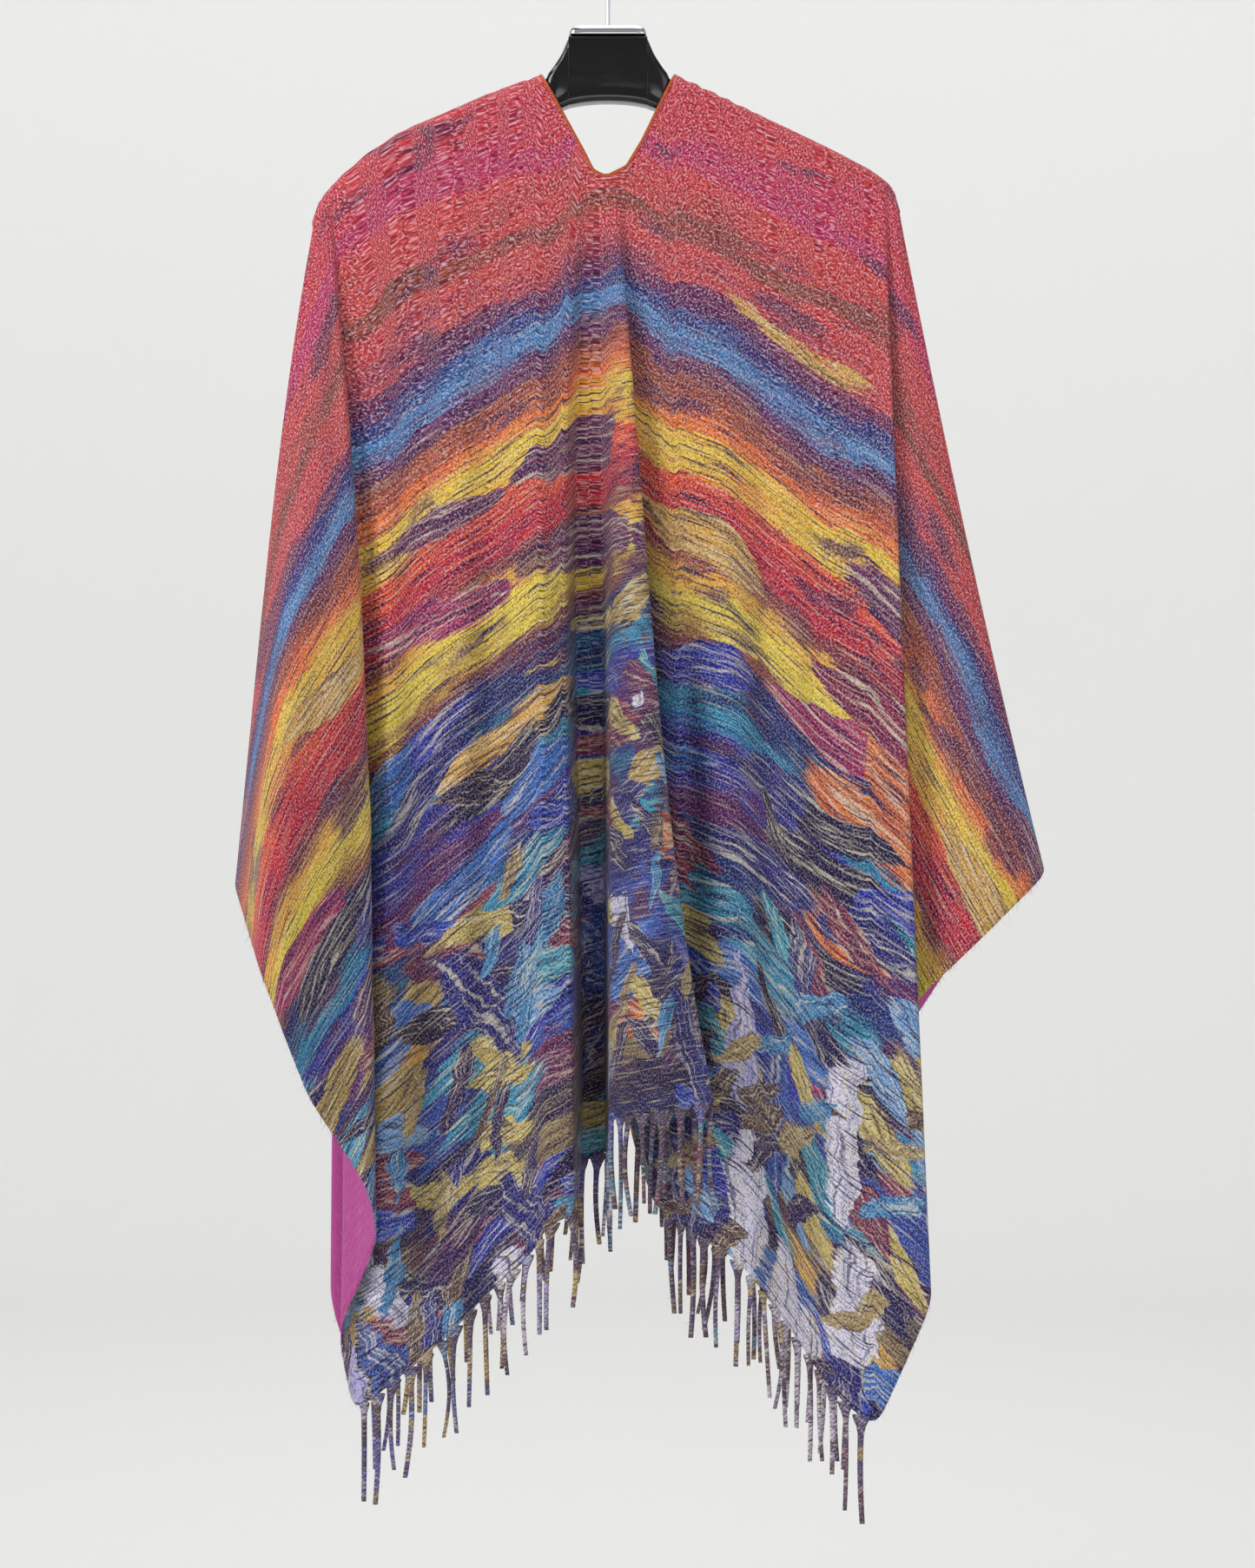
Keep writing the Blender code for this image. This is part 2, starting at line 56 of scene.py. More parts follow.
# Cloth, and how far the slit runs on past the shoulder line
CLOTH_THICKNESS = 1.5
HALF_WIDTH = 640.0
HALF_LENGTH = 745.0
SLIT_BELOW_SHOULDER = 87.0
SEAM_GAP = 0.8
SHOULDER_DROP = 16.0

# Slit, and the x of the plain lines added along its edge, with their room to the next fold line
NECK_HALF_WIDTH = 48.0
NECK_Z = -111.5
SLIT_DROP = 72.9
SLIT_COLUMNS = (47.6, 46.8, 45.6, 44.0, 41.8, 39.0, 35.5, 31.0, 26.0)
SLIT_COLUMN_ROOM = 2.0

# Rows of a panel: close ones at these drops over the shoulder, then even ones from a share of its height
TOP_STEPS = (0.0, 0.12, 0.4, 0.8, 1.8, 3.2, 5.4, 8.0, 11.5, 15.0, 19.0)
FIRST_ROW_SHARE = 0.06
ROWS = 86
# Columns round a bend and between bends
ARC_COLUMNS = 9
COLUMN_PITCH = 7.0
SOFTENING_PASSES = 4

# A bend: the share of its reach that it has at the shoulder, the most it takes of the way to the next line,
# its least width as a multiple of its reach and in mm, and the fold line's weight in its crest
BEND_AT_TOP = 0.12
LONGEST_WAY = 0.42
LEAST_WIDTH = 1.2
FOLD_ROOM = 6.0
CREST_WEIGHT = 0.6

# Fringe. A strand is left out where hem beyond its own stretch is too near, and where the hem is too steep.
FRINGE_PITCH = 15.0
FRINGE_LENGTH = 72.0
FRINGE_END_ROOM = 4.0
STRAND_ROOM = 5.0
OWN_HEM = 9.0
SLOPE_REACH = 4.0
STEEPEST_HEM = 0.85
# A strand, with its usual lean and bow in x and y, and its gathered root
STRAND_RADIUS = 1.8
STRAND_RINGS = 12
STRAND_SIDES = 6
STRAND_OVERLAP = 1.2
STRAND_LEAN = [2.8, 1.3]
STRAND_MOST_LEAN = 6.5
STRAND_BOW = [1.8, 0.8]
ROOT_DROP = 7.5
ROOT_WIDTH = 0.52 * FRINGE_PITCH
ROOT_HALF_THICKNESS = 0.44 * CLOTH_THICKNESS

FIBRE_RINGS = 4
FIBRE_SIDES = 3
FIBRE_CURL = 0.55
FIBRES_A_STRAND = 14
FIBRES_A_METRE = 900

# One row for each fold line: where it starts at the shoulder, its x and y a third (upper) and two thirds
# (lower) of the way down and at its end, the reach of its bend or 0 for none, and its end on the flat cloth
Fold = namedtuple(
    "Fold", "name x_top z_top x_upper x_lower x_end z_end y_top y_upper y_lower y_end bend u_end v_end"
)

# Back panel, from the left side seam to the right one
BACK_FOLDS = [Fold(*row) for row in (
    ("left seam", -210.5, -216.5, -182, -142, -104, -652, 0, 0, 0, 0, 0, -640, 0),
    ("left seam side", -210.4, -215.6, -182, -142, -104, -652, -4, -5, -7, -9, 6, -640, 3),
    ("left silhouette", -206.5, -204, -233, -250, -266, -682, -9, -9, -14, -20, 9, -640, 159),
    ("left wing crest", -204.8, -201, -209, -228, -233, -758, -13, -36, -84, -124, 18, -640, 330),
    ("left wing face", -202.9, -198, -193, -197, -205, -834, -13, -33, -72, -104, 0, -640, 445),
    ("left wing edge", -201.1, -195.5, -174, -160, -152, -918, -13, -33, -60, -84, 17, -640, 571),
    ("left under fold", -198, -191.8, -190, -188, -192, -1006, -13, -13, -21, -29, 9, -640, 668),
    ("left corner", -194.3, -188.1, -184, -181, -179, -1059, -13, -14, -23, -32, 0, -640, 745),
    ("left crest", -188.7, -181.9, -154, -151, -150, -1036, -13, -22, -40, -56, 14, -585, 745),
    ("left trough", -151.6, -153.9, -136, -133, -131, -1022, -13, -17, -25, -34, 14, -540, 745),
    ("left soft crest", -111.3, -136.2, -106, -104, -103, -995, -13, -23, -40, -54, 18, -490, 745),
    ("left soft trough", -86.6, -126, -79, -78, -77, -967, -13, -18, -27, -36, 14, -442, 745),
    ("strip left edge", -63.1, -117.4, -65, -59, -56, -950, -13, -22, -42, -60, 9, -395, 745),
    ("left neck point", -NECK_HALF_WIDTH, NECK_Z, -48, -45, -42, -926, -13, -23, -44, -64, 0, -363, 745),
    ("strip right edge", -17.3, -167.4, -30, -27, -24, -917, -13, -20, -40, -58, 7, -342, 745),
    ("recess left", -11, -180.1, -23.6, -21.2, -20, -888, -13, 4, 16, 30, 7, -246, 745),
    ("recess right", -6.5, -182.9, -3.4, -2.2, -1, -883, -13, 5, 18, 32, 7, -230, 745),
    ("flap left edge", -2.8, -184.3, 3.8, 3.3, 2, -851, -13, -20, -44, -68, 7, -140, 745),
    ("flap face", 0, -184.4, 13.6, 22.7, 38, -841, -13, -37, -78, -118, 22, -20, 745),
    ("flap right edge", 2.8, -183.2, 24.1, 43.5, 77, -836, -13, -31, -58, -86, 8, 102, 745),
    ("under flap", 13.5, -177.9, 7.9, 8.9, 12, -856, -13, -3, 0, 3, 9, 230, 745),
    ("right of V", 24.8, -159.2, 28.8, 30.7, 33, -917, -13, -7, -1, 2, 0, 321, 745),
    ("right neck point", NECK_HALF_WIDTH, NECK_Z, 49, 52, 55, -930, -13, -14, -22, -30, 0, 363, 745),
    ("right strip edge", 71.2, -122.5, 84, 95, 93, -951, -13, -21, -43, -64, 9, 432, 745),
    ("right trough", 111.4, -141.6, 117, 123, 125, -995, -13, -16, -23, -30, 14, 512, 745),
    ("right crest", 154.7, -162.2, 155, 155, 159, -1046, -13, -24, -42, -58, 18, 596, 745),
    ("right corner", 185.7, -178.3, 187, 187, 188, -1067, -13, -24, -45, -60, 0, 640, 745),
    ("right main edge", 195.6, -185.4, 207, 219, 231, -971, -13, -28, -46, -62, 8, 640, 637),
    ("right under fold", 199.3, -188.6, 184, 160, 137, -878, -13, -12, -19, -2, 9, 640, 512),
    ("right wing near", 201.7, -191.2, 213, 222, 223, -765, -13, -14, -20, -26, 0, 640, 342),
    ("right wing bend", 203, -193.6, 224, 244, 264, -724, -13, -17, -30, -46, 16, 640, 274),
    ("right silhouette", 204.8, -198.5, 240, 277, 317, -674, -9, -7, -12, -16, 12, 640, 181),
    ("right seam side", 207.8, -207.9, 179, 147, 112, -644, -4, -4, -5, -6, 6, 640, 3),
    ("right seam", 207.9, -208.6, 179, 147, 112, -644, 0, 0, 0, 0, 0, 640, 0),
)]

# Front panels from their free edge at the middle out to the side seam, with y towards the front
FRONT_LEFT_FOLDS = [Fold(*row) for row in (
    ("free edge", -8, -186, -9, -11, -14, -838, 13, 34, 72, 116, 0, 0, 745),
    ("edge fold outer", -11.5, -177.5, -38, -76, -114, -857, 13, 29, 64, 104, 9, -137, 745),
    ("edge fold inner", -17, -168.5, -16, -19, -24, -880, 13, 15, 38, 62, 9, -285, 745),
    ("neck point", -NECK_HALF_WIDTH, NECK_Z, -51, -58, -66, -926, 13, 18, 36, 54, 0, -349, 745),
    ("soft crest", -98, -130.7, -101, -104, -106, -975, 13, 30, 56, 76, 20, -439, 745),
    ("soft trough", -140, -147.9, -140, -142, -144, -1003, 13, 18, 28, 34, 16, -524, 745),
    ("crest", -172, -167.2, -168, -164, -158, -1030, 13, 24, 46, 62, 14, -579, 745),
    ("corner", -194.3, -188.1, -189, -185, -181, -1048, 13, 14, 20, 26, 0, -640, 745),
    ("under fold", -198, -191.8, -196, -200, -205, -976, 13, 13, 21, 29, 9, -640, 657),
    ("wing edge", -201.1, -195.5, -180, -166, -156, -902, 13, 34, 60, 82, 8, -640, 539),
    ("wing crest", -204.8, -201, -210, -222, -232, -757, 13, 38, 88, 134, 18, -640, 341),
    ("silhouette", -206.5, -204, -226, -242, -256, -676, 9, 9, 14, 20, 9, -640, 177),
    ("seam side", -210.4, -215.6, -182, -142, -104, -652, 4, 5, 7, 9, 6, -640, 3),
    ("seam", -210.5, -216.5, -182, -142, -104, -652, 0, 0, 0, 0, 0, -640, 0),
)]

FRONT_RIGHT_FOLDS = [Fold(*row) for row in (
    ("free edge", 10.5, -186, 9, 12, 17, -840, 13, 33, 66, 104, 0, 0, 745),
    ("edge fold outer", 14.6, -177.5, 36, 70, 104, -853, 13, 29, 60, 94, 9, 122, 745),
    ("edge fold inner", 20.2, -168.5, 15, 19, 26, -876, 13, 15, 34, 54, 9, 256, 745),
    ("neck point", NECK_HALF_WIDTH, NECK_Z, 50, 54, 60, -922, 13, 17, 34, 50, 0, 313, 745),
    ("soft crest", 92, -132.4, 94, 98, 102, -962, 13, 31, 60, 82, 22, 403, 745),
    ("soft trough", 132, -151.4, 134, 136, 138, -1000, 13, 17, 27, 32, 16, 502, 745),
    ("crest", 166, -167.6, 164, 162, 160, -1034, 13, 24, 46, 64, 14, 573, 745),
    ("corner", 190, -181.2, 188, 186, 184, -1052, 13, 14, 20, 26, 0, 640, 745),
    ("under fold", 196.5, -186.2, 200, 206, 210, -984, 13, 14, 22, 30, 9, 640, 668),
    ("wing edge", 200, -189.4, 183, 168, 154, -894, 13, 29, 54, 76, 8, 640, 546),
    ("wing crest", 203, -193.6, 218, 238, 256, -748, 13, 36, 84, 130, 18, 640, 350),
    ("silhouette", 204.8, -198.5, 234, 266, 300, -668, 9, 9, 14, 20, 9, 640, 200),
    ("seam side", 207.8, -207.9, 179, 147, 112, -644, 4, 5, 7, 9, 6, 640, 3),
    ("seam", 207.9, -208.6, 179, 147, 112, -644, 0, 0, 0, 0, 0, 640, 0),
)]

# Creases and sags on the back, as ridges on the flat cloth, and their fades as shares of their length
Crease = namedtuple("Crease", "u_from v_from u_to v_to height width")
CREASES = [
    Crease(30, 120, 60, 260, -0.9, 9),
    Crease(64, 120, 104, 300, -0.8, 8),
    Crease(470, 250, 560, 330, -1.6, 10),
    Crease(-300, 330, -250, 520, 0.8, 14),
    Crease(-470, 240, -455, 520, 0.9, 16),
    Crease(250, 260, 300, 520, -0.9, 15),
    Crease(395, 300, 430, 560, 0.8, 16),
    Crease(-560, 330, -520, 480, -1.0, 14),
]
CREASE_FADE_IN = 0.3
CREASE_FADE_OUT = 0.4
# Puckers at the neck, and where along the shoulder line they are strongest
PUCKER_PITCH = 13.0
PUCKER_HEIGHT = 0.9
PUCKER_PLACE = 26.0
PUCKER_SPREAD = 34.0
PUCKER_DROP = 12.0
# Soft folds between the large ones, which grow downwards, fade out at the sides and sway
Ripple = namedtuple("Ripple", "pitch depth phase")
RIPPLES = [Ripple(47.0, 3.4, 0.9), Ripple(29.0, 1.4, 2.1), Ripple(17.0, 0.3, 4.0)]
RIPPLES_BEGIN_Z = -200.0
RIPPLES_GROW_OVER = 400.0
RIPPLES_END_X = 214.0
RIPPLES_FADE_OVER = 40.0
RIPPLE_SWAY = 1.1
RIPPLE_SWAY_LENGTH = 190.0

Station = namedtuple("Station", "x z_top z_bottom half_depth squareness")
HANGER_STATIONS = [Station(*row) for row in (
    # squareness is 1 for an ellipse and 0 for a rectangle
    (0, -83.8, -130.5, 11.5, 0.22),
    (15, -83.8, -131.2, 11.5, 0.22),
    (26.8, -83.8, -133.2, 11.4, 0.22),
    (28.4, -86.4, -133.8, 11.3, 0.22),
    (33, -96.8, -135.4, 11.0, 0.24),
    (38.5, -105.4, -137.0, 10.4, 0.28),
    (42.2, -109.9, -138.4, 9.4, 0.4),
    (44.4, -114.0, -139.6, 8.4, 0.6),
    (49, -118.4, -142.0, 7.8, 0.9),
    (60, -121.5, -147.0, 8.6, 1.0),
    (100, -139.2, -163.5, 9.4, 1.0),
    (150, -163.0, -186.0, 9.4, 1.0),
    (179, -176.8, -198.5, 9.0, 1.0),
    (191, -186.5, -202.5, 7.4, 1.0),
    (196.5, -193.0, -201.5, 4.4, 1.0),
)]
HANGER_SECTIONS = 150
HANGER_SIDES = 48
# Grooves along the hanger: place and half width as shares of its half height, depth as a share of its own
GROOVES = [(-0.66, 0.06, 0.09), (0.8, 0.05, 0.03)]
CAP_HALF_WIDTH = 28.0
CAP_TOP_HALF_WIDTH = 26.4
CAP_HALF_DEPTH = 12.6
CAP_BOTTOM_Z = -83.4
CAP_TOP_Z = -77.2
CAP_SQUARENESS = 0.28
CAP_SIDES = 64
CAP_RINGS = 41
# How far the cap's side is drawn in, in mm, and at what share of its height
CAP_PROFILE = [
    (0.9, 0.0), (0.25, 0.06), (0.0, 0.14), (0.0, 0.30), (0.05, 0.48), (0.3, 0.64), (0.8, 0.80), (1.5, 0.93),
    (2.4, 1.0), (5.5, 1.0), (10.0, 1.0),
]
HOOK_RADIUS = 20.0
HOOK_WIRE = 3.0
HOOK_TIP = 1.5
HOOK_SECTIONS = 180
HOOK_SIDES = 20
# The stem's x and z from the cap up to the round, and the round's angles from there to the tip
HOOK_STEM = [
    (0.0, CAP_TOP_Z + 0.2), (0.0, -70.0), (0.0, -63.0), (0.0, -57.0), (-1.2, -52.0), (-6.5, -43.5),
    (-13.5, -35.5),
]
HOOK_ANGLES = (212, -25)

BINDING_HALF_THICKNESS = 1.35
BINDING_OUT = 1.3
BINDING_IN = 1.1
BINDING_SQUARENESS = 0.6
BINDING_SIDES = 16
# Stitches: also the room at the tape's ends, and how far they lie in from its edge and up its half thickness
STITCH_PITCH = 2.6
STITCH_END_ROOM = 2.0
STITCH_HALF_LENGTH = 0.85
STITCH_HALF_WIDTH = 0.27
STITCH_INSET = 0.7
STITCH_HEIGHT = 0.97
STITCH_RINGS = 5
STITCH_SIDES = 6


def lengths_along(path):
    """How far along a path of points each of them lies."""
    return np.concatenate([[0], np.cumsum(np.linalg.norm(np.diff(path, axis=0), axis=1))])


def sampled(length, rows, at):
    """Rows of values given at these lengths, read in straight lines between them at other ones."""
    return np.stack([np.interp(at, length, rows[:, axis]) for axis in range(rows.shape[1])], axis=1)


def unit(vectors):
    """The vectors at length 1."""
    return vectors / np.linalg.norm(vectors, axis=-1, keepdims=True).clip(1e-9)


def full_turn(sides):
    """The angles of the corners of a regular polygon."""
    return np.arange(sides) * 2 * math.pi / sides


def superellipse(turn, squareness):
    """Across and up at these angles round a unit superellipse: the cosine and the sine, each to the power of
    the squareness with its sign kept."""
    return (np.sign(part) * np.abs(part) ** squareness for part in (np.cos(turn), np.sin(turn)))


def cubic_through(share, top, upper, lower, end):
    """The cubic in share that takes the four values at 0, a third, two thirds and 1."""
    t = share
    return (
        top * (1 - 3 * t) * (2 - 3 * t) * (1 - t) / 2
        + upper * 9 * t * (2 - 3 * t) * (1 - t) / 2
        - lower * 9 * t * (1 - 3 * t) * (1 - t) / 2
        + end * t * (1 - 3 * t) * (2 - 3 * t) / 2
    )


def over_shoulder(drop):
    """A quarter of an ellipse, from 0 on the shoulder line to 1 where the cloth hangs clear of the hanger."""
    return np.sqrt(1 - np.clip(1 - drop / SHOULDER_DROP, 0, 1) ** 2)


def fold_line(fold, facing):
    """Points down one fold line as x, y, z, u, v, and their shares of its height.

    x and y are cubics in the share of the height, and y is drawn in to 0 over the shoulder. A fold line is
    straight on the flat cloth, so u and v run straight from its top to its end by the length gone along it.
    """
    height = fold.z_top - fold.z_end
    drop = np.concatenate([TOP_STEPS, np.linspace(FIRST_ROW_SHARE, 1, ROWS) * height])
    share = drop / height
    in_slit = abs(fold.x_top) < NECK_HALF_WIDTH
    x = cubic_through(share, fold.x_top, fold.x_upper, fold.x_lower, fold.x_end)
    y = cubic_through(share, fold.y_top, fold.y_upper, fold.y_lower, fold.y_end)
    y = y * over_shoulder(drop + max(0.0, NECK_Z - fold.z_top) * in_slit) + facing * SEAM_GAP / 2
    z = fold.z_top - drop
    u_top = v_top = 0.0
    if in_slit:
        v_top = SLIT_BELOW_SHOULDER * min(1.0, (NECK_Z - fold.z_top) / SLIT_DROP)
    else:
        u_top = math.copysign(math.hypot(abs(fold.x_top) - NECK_HALF_WIDTH, fold.z_top - NECK_Z), fold.x_top)
    gone = lengths_along(np.stack([x, y, z], axis=1))
    u = u_top + (fold.u_end - u_top) * gone / gone[-1]
    v = v_top + (fold.v_end - v_top) * gone / gone[-1]
    return np.stack([x, y, z, u, v], axis=1), share


def with_slit_columns(folds):
    """The folds with plain lines added along the slit's edge, close where it turns over the shoulder, each on
    the straight step between the folds beside it."""
    added = [folds[0]]
    for fold, follower in zip(folds, folds[1:]):
        outer, inner = sorted((fold, follower), key=lambda one: -abs(one.x_top))
        if "neck point" in outer.name:
            for place in SLIT_COLUMNS if outer is fold else SLIT_COLUMNS[::-1]:
                if place > abs(inner.x_top) + SLIT_COLUMN_ROOM:
                    share = (NECK_HALF_WIDTH - place) / (NECK_HALF_WIDTH - abs(inner.x_top))
                    values = [a + (b - a) * share for a, b in zip(outer[1:], inner[1:])]
                    added.append(Fold("slit edge", *values)._replace(bend=0))
        added.append(follower)
    return added


def rippled(x, z):
    """How far the soft ripples move the cloth in y: sines of x that grow down the cloth, as soft folds hang
    straight down. Every layer at one place moves alike, so the layers keep clear of each other."""
    grown = np.clip((RIPPLES_BEGIN_Z - z) / RIPPLES_GROW_OVER, 0, 1)
    kept = np.clip((RIPPLES_END_X - np.abs(x)) / RIPPLES_FADE_OVER, 0, 1)
    waves = 0.0
    for ripple in RIPPLES:
        sway = RIPPLE_SWAY * np.sin(z / RIPPLE_SWAY_LENGTH + ripple.phase)
        waves = waves + ripple.depth * np.sin(2 * math.pi * x / ripple.pitch + ripple.phase + sway)
    return grown * kept * waves


def part_way(points, neighbour, reach):
    """The points moved by reach towards a neighbouring line, seen from above, but only a share of the way."""
    step = neighbour - points
    apart = np.linalg.norm(step[:, :2], axis=1, keepdims=True).clip(1e-6)
    return points + step * np.minimum(LONGEST_WAY, reach / apart)


def draped_grid(folds, facing):
    """A panel's points, columns across by rows down, each x, y, z, u, v.

    Each fold is a quadratic curve between two points a bend's reach away towards its neighbours, drawn to a
    crest near the fold line. Between folds the sheet is straight, in columns at an even pitch. Passes of a
    1-2-1 filter across then soften the changes.
    """
    lines = [fold_line(fold, facing) for fold in folds]
    arcs = []
    for number, (fold, (points, share)) in enumerate(zip(folds, lines)):
        if fold.bend == 0:
            arcs.append(points[None])
            continue
        reach = fold.bend * (BEND_AT_TOP + (1 - BEND_AT_TOP) * share)[:, None]
        start, end = (part_way(points, lines[near][0], reach) for near in (number - 1, number + 1))
        across = (end - start) * [1, 1, 0, 0, 0]
        width = np.linalg.norm(across, axis=1, keepdims=True)
        spread = across / width * np.maximum(0, np.minimum(FOLD_ROOM, LEAST_WIDTH * reach) - width) / 2
        start, end = start - spread, end + spread
        crest = CREST_WEIGHT * points + (1 - CREST_WEIGHT) / 2 * (start + end)
        s = np.linspace(0, 1, ARC_COLUMNS)[:, None, None]
        arcs.append((1 - s) ** 2 * start + 2 * s * (1 - s) * crest + s**2 * end)
    columns = [arcs[0]]
    for before, after in zip(arcs, arcs[1:]):
        step = after[0] - before[-1]
        count = int(np.linalg.norm(step[-1, 3:]) // COLUMN_PITCH)
        s = (np.arange(count) + 1) / (count + 1)
        columns += [before[-1] + step * s[:, None, None], after]
    grid = np.concatenate(columns)
    for _ in range(SOFTENING_PASSES):
        grid[1:-1, 1:, :3] = (grid[:-2, 1:, :3] + 2 * grid[1:-1, 1:, :3] + grid[2:, 1:, :3]) / 4
    grid[..., 1] += rippled(grid[..., 0], grid[..., 2])
    return grid


def normals_of(points, sign):
    """Unit normals of a grid: down crossed with across, by central differences."""
    return unit(np.cross(np.gradient(points, axis=1), np.gradient(points, axis=0)) * sign)


def relief(grid, creases):
    """Height of the cloth's small forms, in mm.

    Each crease is a bell-shaped ridge along a line on the flat cloth with faded ends, and the puckers are a
    sine across that dies away within a few mm of the shoulder line.
    """
    u, v = grid[..., 3], grid[..., 4]
    height = 0.0
    for crease in creases:
        way = np.array([crease.u_to - crease.u_from, crease.v_to - crease.v_from], float)
        length = np.hypot(*way)
        way /= length
        along = (u - crease.u_from) * way[0] + (v - crease.v_from) * way[1]
        aside = (u - crease.u_from) * way[1] - (v - crease.v_from) * way[0]
        fade = np.clip(along / (CREASE_FADE_IN * length), 0, 1)
        fade = fade * np.clip((length - along) / (CREASE_FADE_OUT * length), 0, 1)
        height = height + crease.height * fade * np.exp(-((aside / crease.width) ** 2))
    near_neck = np.exp(-((np.abs(u) - PUCKER_PLACE) / PUCKER_SPREAD) ** 2) * np.exp(-v / PUCKER_DROP)
    return height + PUCKER_HEIGHT * near_neck * np.sin(2 * math.pi * np.abs(u) / PUCKER_PITCH)


def placed(name, data):
    """A new object in the scene with this data."""
    obj = bpy.data.objects.new(name, data)
    bpy.context.scene.collection.objects.link(obj)
    return obj


def new_object(name, points_mm, faces, finishes, indices=None, flat=None):
    """A mesh object at the origin from points in mm, with its materials, smooth faces and flat UV map."""
    mesh = bpy.data.meshes.new(name)
    mesh.from_pydata((np.asarray(points_mm, float) * MM).tolist(), [], [tuple(face) for face in faces])
    for finish in finishes:
        mesh.materials.append(finish)
    if indices is not None:
        mesh.polygons.foreach_set("material_index", np.asarray(indices, np.int32))
    if flat is not None:
        corners = np.zeros(len(mesh.loops), np.int32)
        mesh.loops.foreach_get("vertex_index", corners)
        layer = mesh.uv_layers.new(name="flat")
        layer.data.foreach_set("uv", (np.asarray(flat)[corners] * MM).astype(np.float32).ravel())
    mesh.polygons.foreach_set("use_smooth", np.ones(len(mesh.polygons), bool))
    mesh.update()
    return placed(name, mesh)


def tube_faces(rings, sides, closed_ends=True, first=0):
    """Quads of a tube of rings by sides points, with a face on each end."""
    ring, side = np.meshgrid(np.arange(rings - 1), np.arange(sides), indexing="ij")
    near, far = ring * sides, (ring + 1) * sides
    following = (side + 1) % sides
    quads = np.stack([near + side, near + following, far + following, far + side], axis=-1)
    faces = (quads.reshape(-1, 4) + first).tolist()
    if closed_ends:
        last = first + (rings - 1) * sides
        faces += [list(range(first + sides - 1, first - 1, -1)), list(range(last, last + sides))]
    return faces


def many_tubes(count, rings, sides, first=0):
    """The faces of a number of like tubes, one after the other."""
    faces = []
    for number in range(count):
        faces += tube_faces(rings, sides, first=first + number * rings * sides)
    return faces


def cloth_panel(name, grid, sign, creases, finishes):
    """A panel with its thickness: the relief lifts the sheet along its normals, and its two faces lie half a
    thickness to each side, joined round the edge by a ring pushed out by a third of the thickness."""
    middle = grid[..., :3]
    middle = middle + normals_of(middle, sign) * relief(grid, creases)[..., None]
    normal = normals_of(middle, sign)
    wide, high = middle.shape[:2]
    index = np.arange(wide * high).reshape(wide, high)
    loop = np.concatenate([index[:-1, 0], index[-1, :-1], index[:0:-1, -1], index[0, :0:-1]])
    inside = np.concatenate([index[:-1, 1], index[-2, :-1], index[:0:-1, -2], index[1, :0:-1]])
    flat_points = middle.reshape(-1, 3)
    rim = flat_points[loop] + unit(flat_points[loop] - flat_points[inside]) * CLOTH_THICKNESS / 3
    lift = normal.reshape(-1, 3) * CLOTH_THICKNESS / 2
    points = np.concatenate([flat_points + lift, flat_points - lift, rim])
    total = wide * high
    quads = np.stack([index[:-1, :-1], index[:-1, 1:], index[1:, 1:], index[1:, :-1]], axis=-1)
    quads = quads.reshape(-1, 4)
    ring = 2 * total + np.arange(len(loop))
    following, ring_following = np.roll(loop, -1), np.roll(ring, -1)
    edge = np.concatenate([
        np.stack([loop, following, ring_following, ring], axis=1),
        np.stack([ring, ring_following, following + total, loop + total], axis=1),
    ])
    if sign < 0:
        quads, edge = quads[:, ::-1], edge[:, ::-1]
    faces = np.concatenate([quads, quads[:, ::-1] + total, edge])
    parts = np.repeat([0, 1, 0, 1], [len(quads), len(quads), len(loop), len(loop)])
    place = grid[..., 3:].reshape(-1, 2)
    flat = np.concatenate([place, place, place[loop]])
    obj = new_object(name, points, faces, finishes, parts, flat)
    return obj, middle, normal


def hem_between(grid, middle, first_corner, last_corner):
    """The hem's points, where the fringe hangs, and their places across the flat cloth: those of the last row
    that lie on the cloth's short end, from one corner to the other."""
    u, v = grid[:, -1, 3], grid[:, -1, 4]
    on_hem = (v > HALF_LENGTH - 0.5) & (u >= first_corner) & (u <= last_corner)
    return middle[on_hem, -1], u[on_hem]


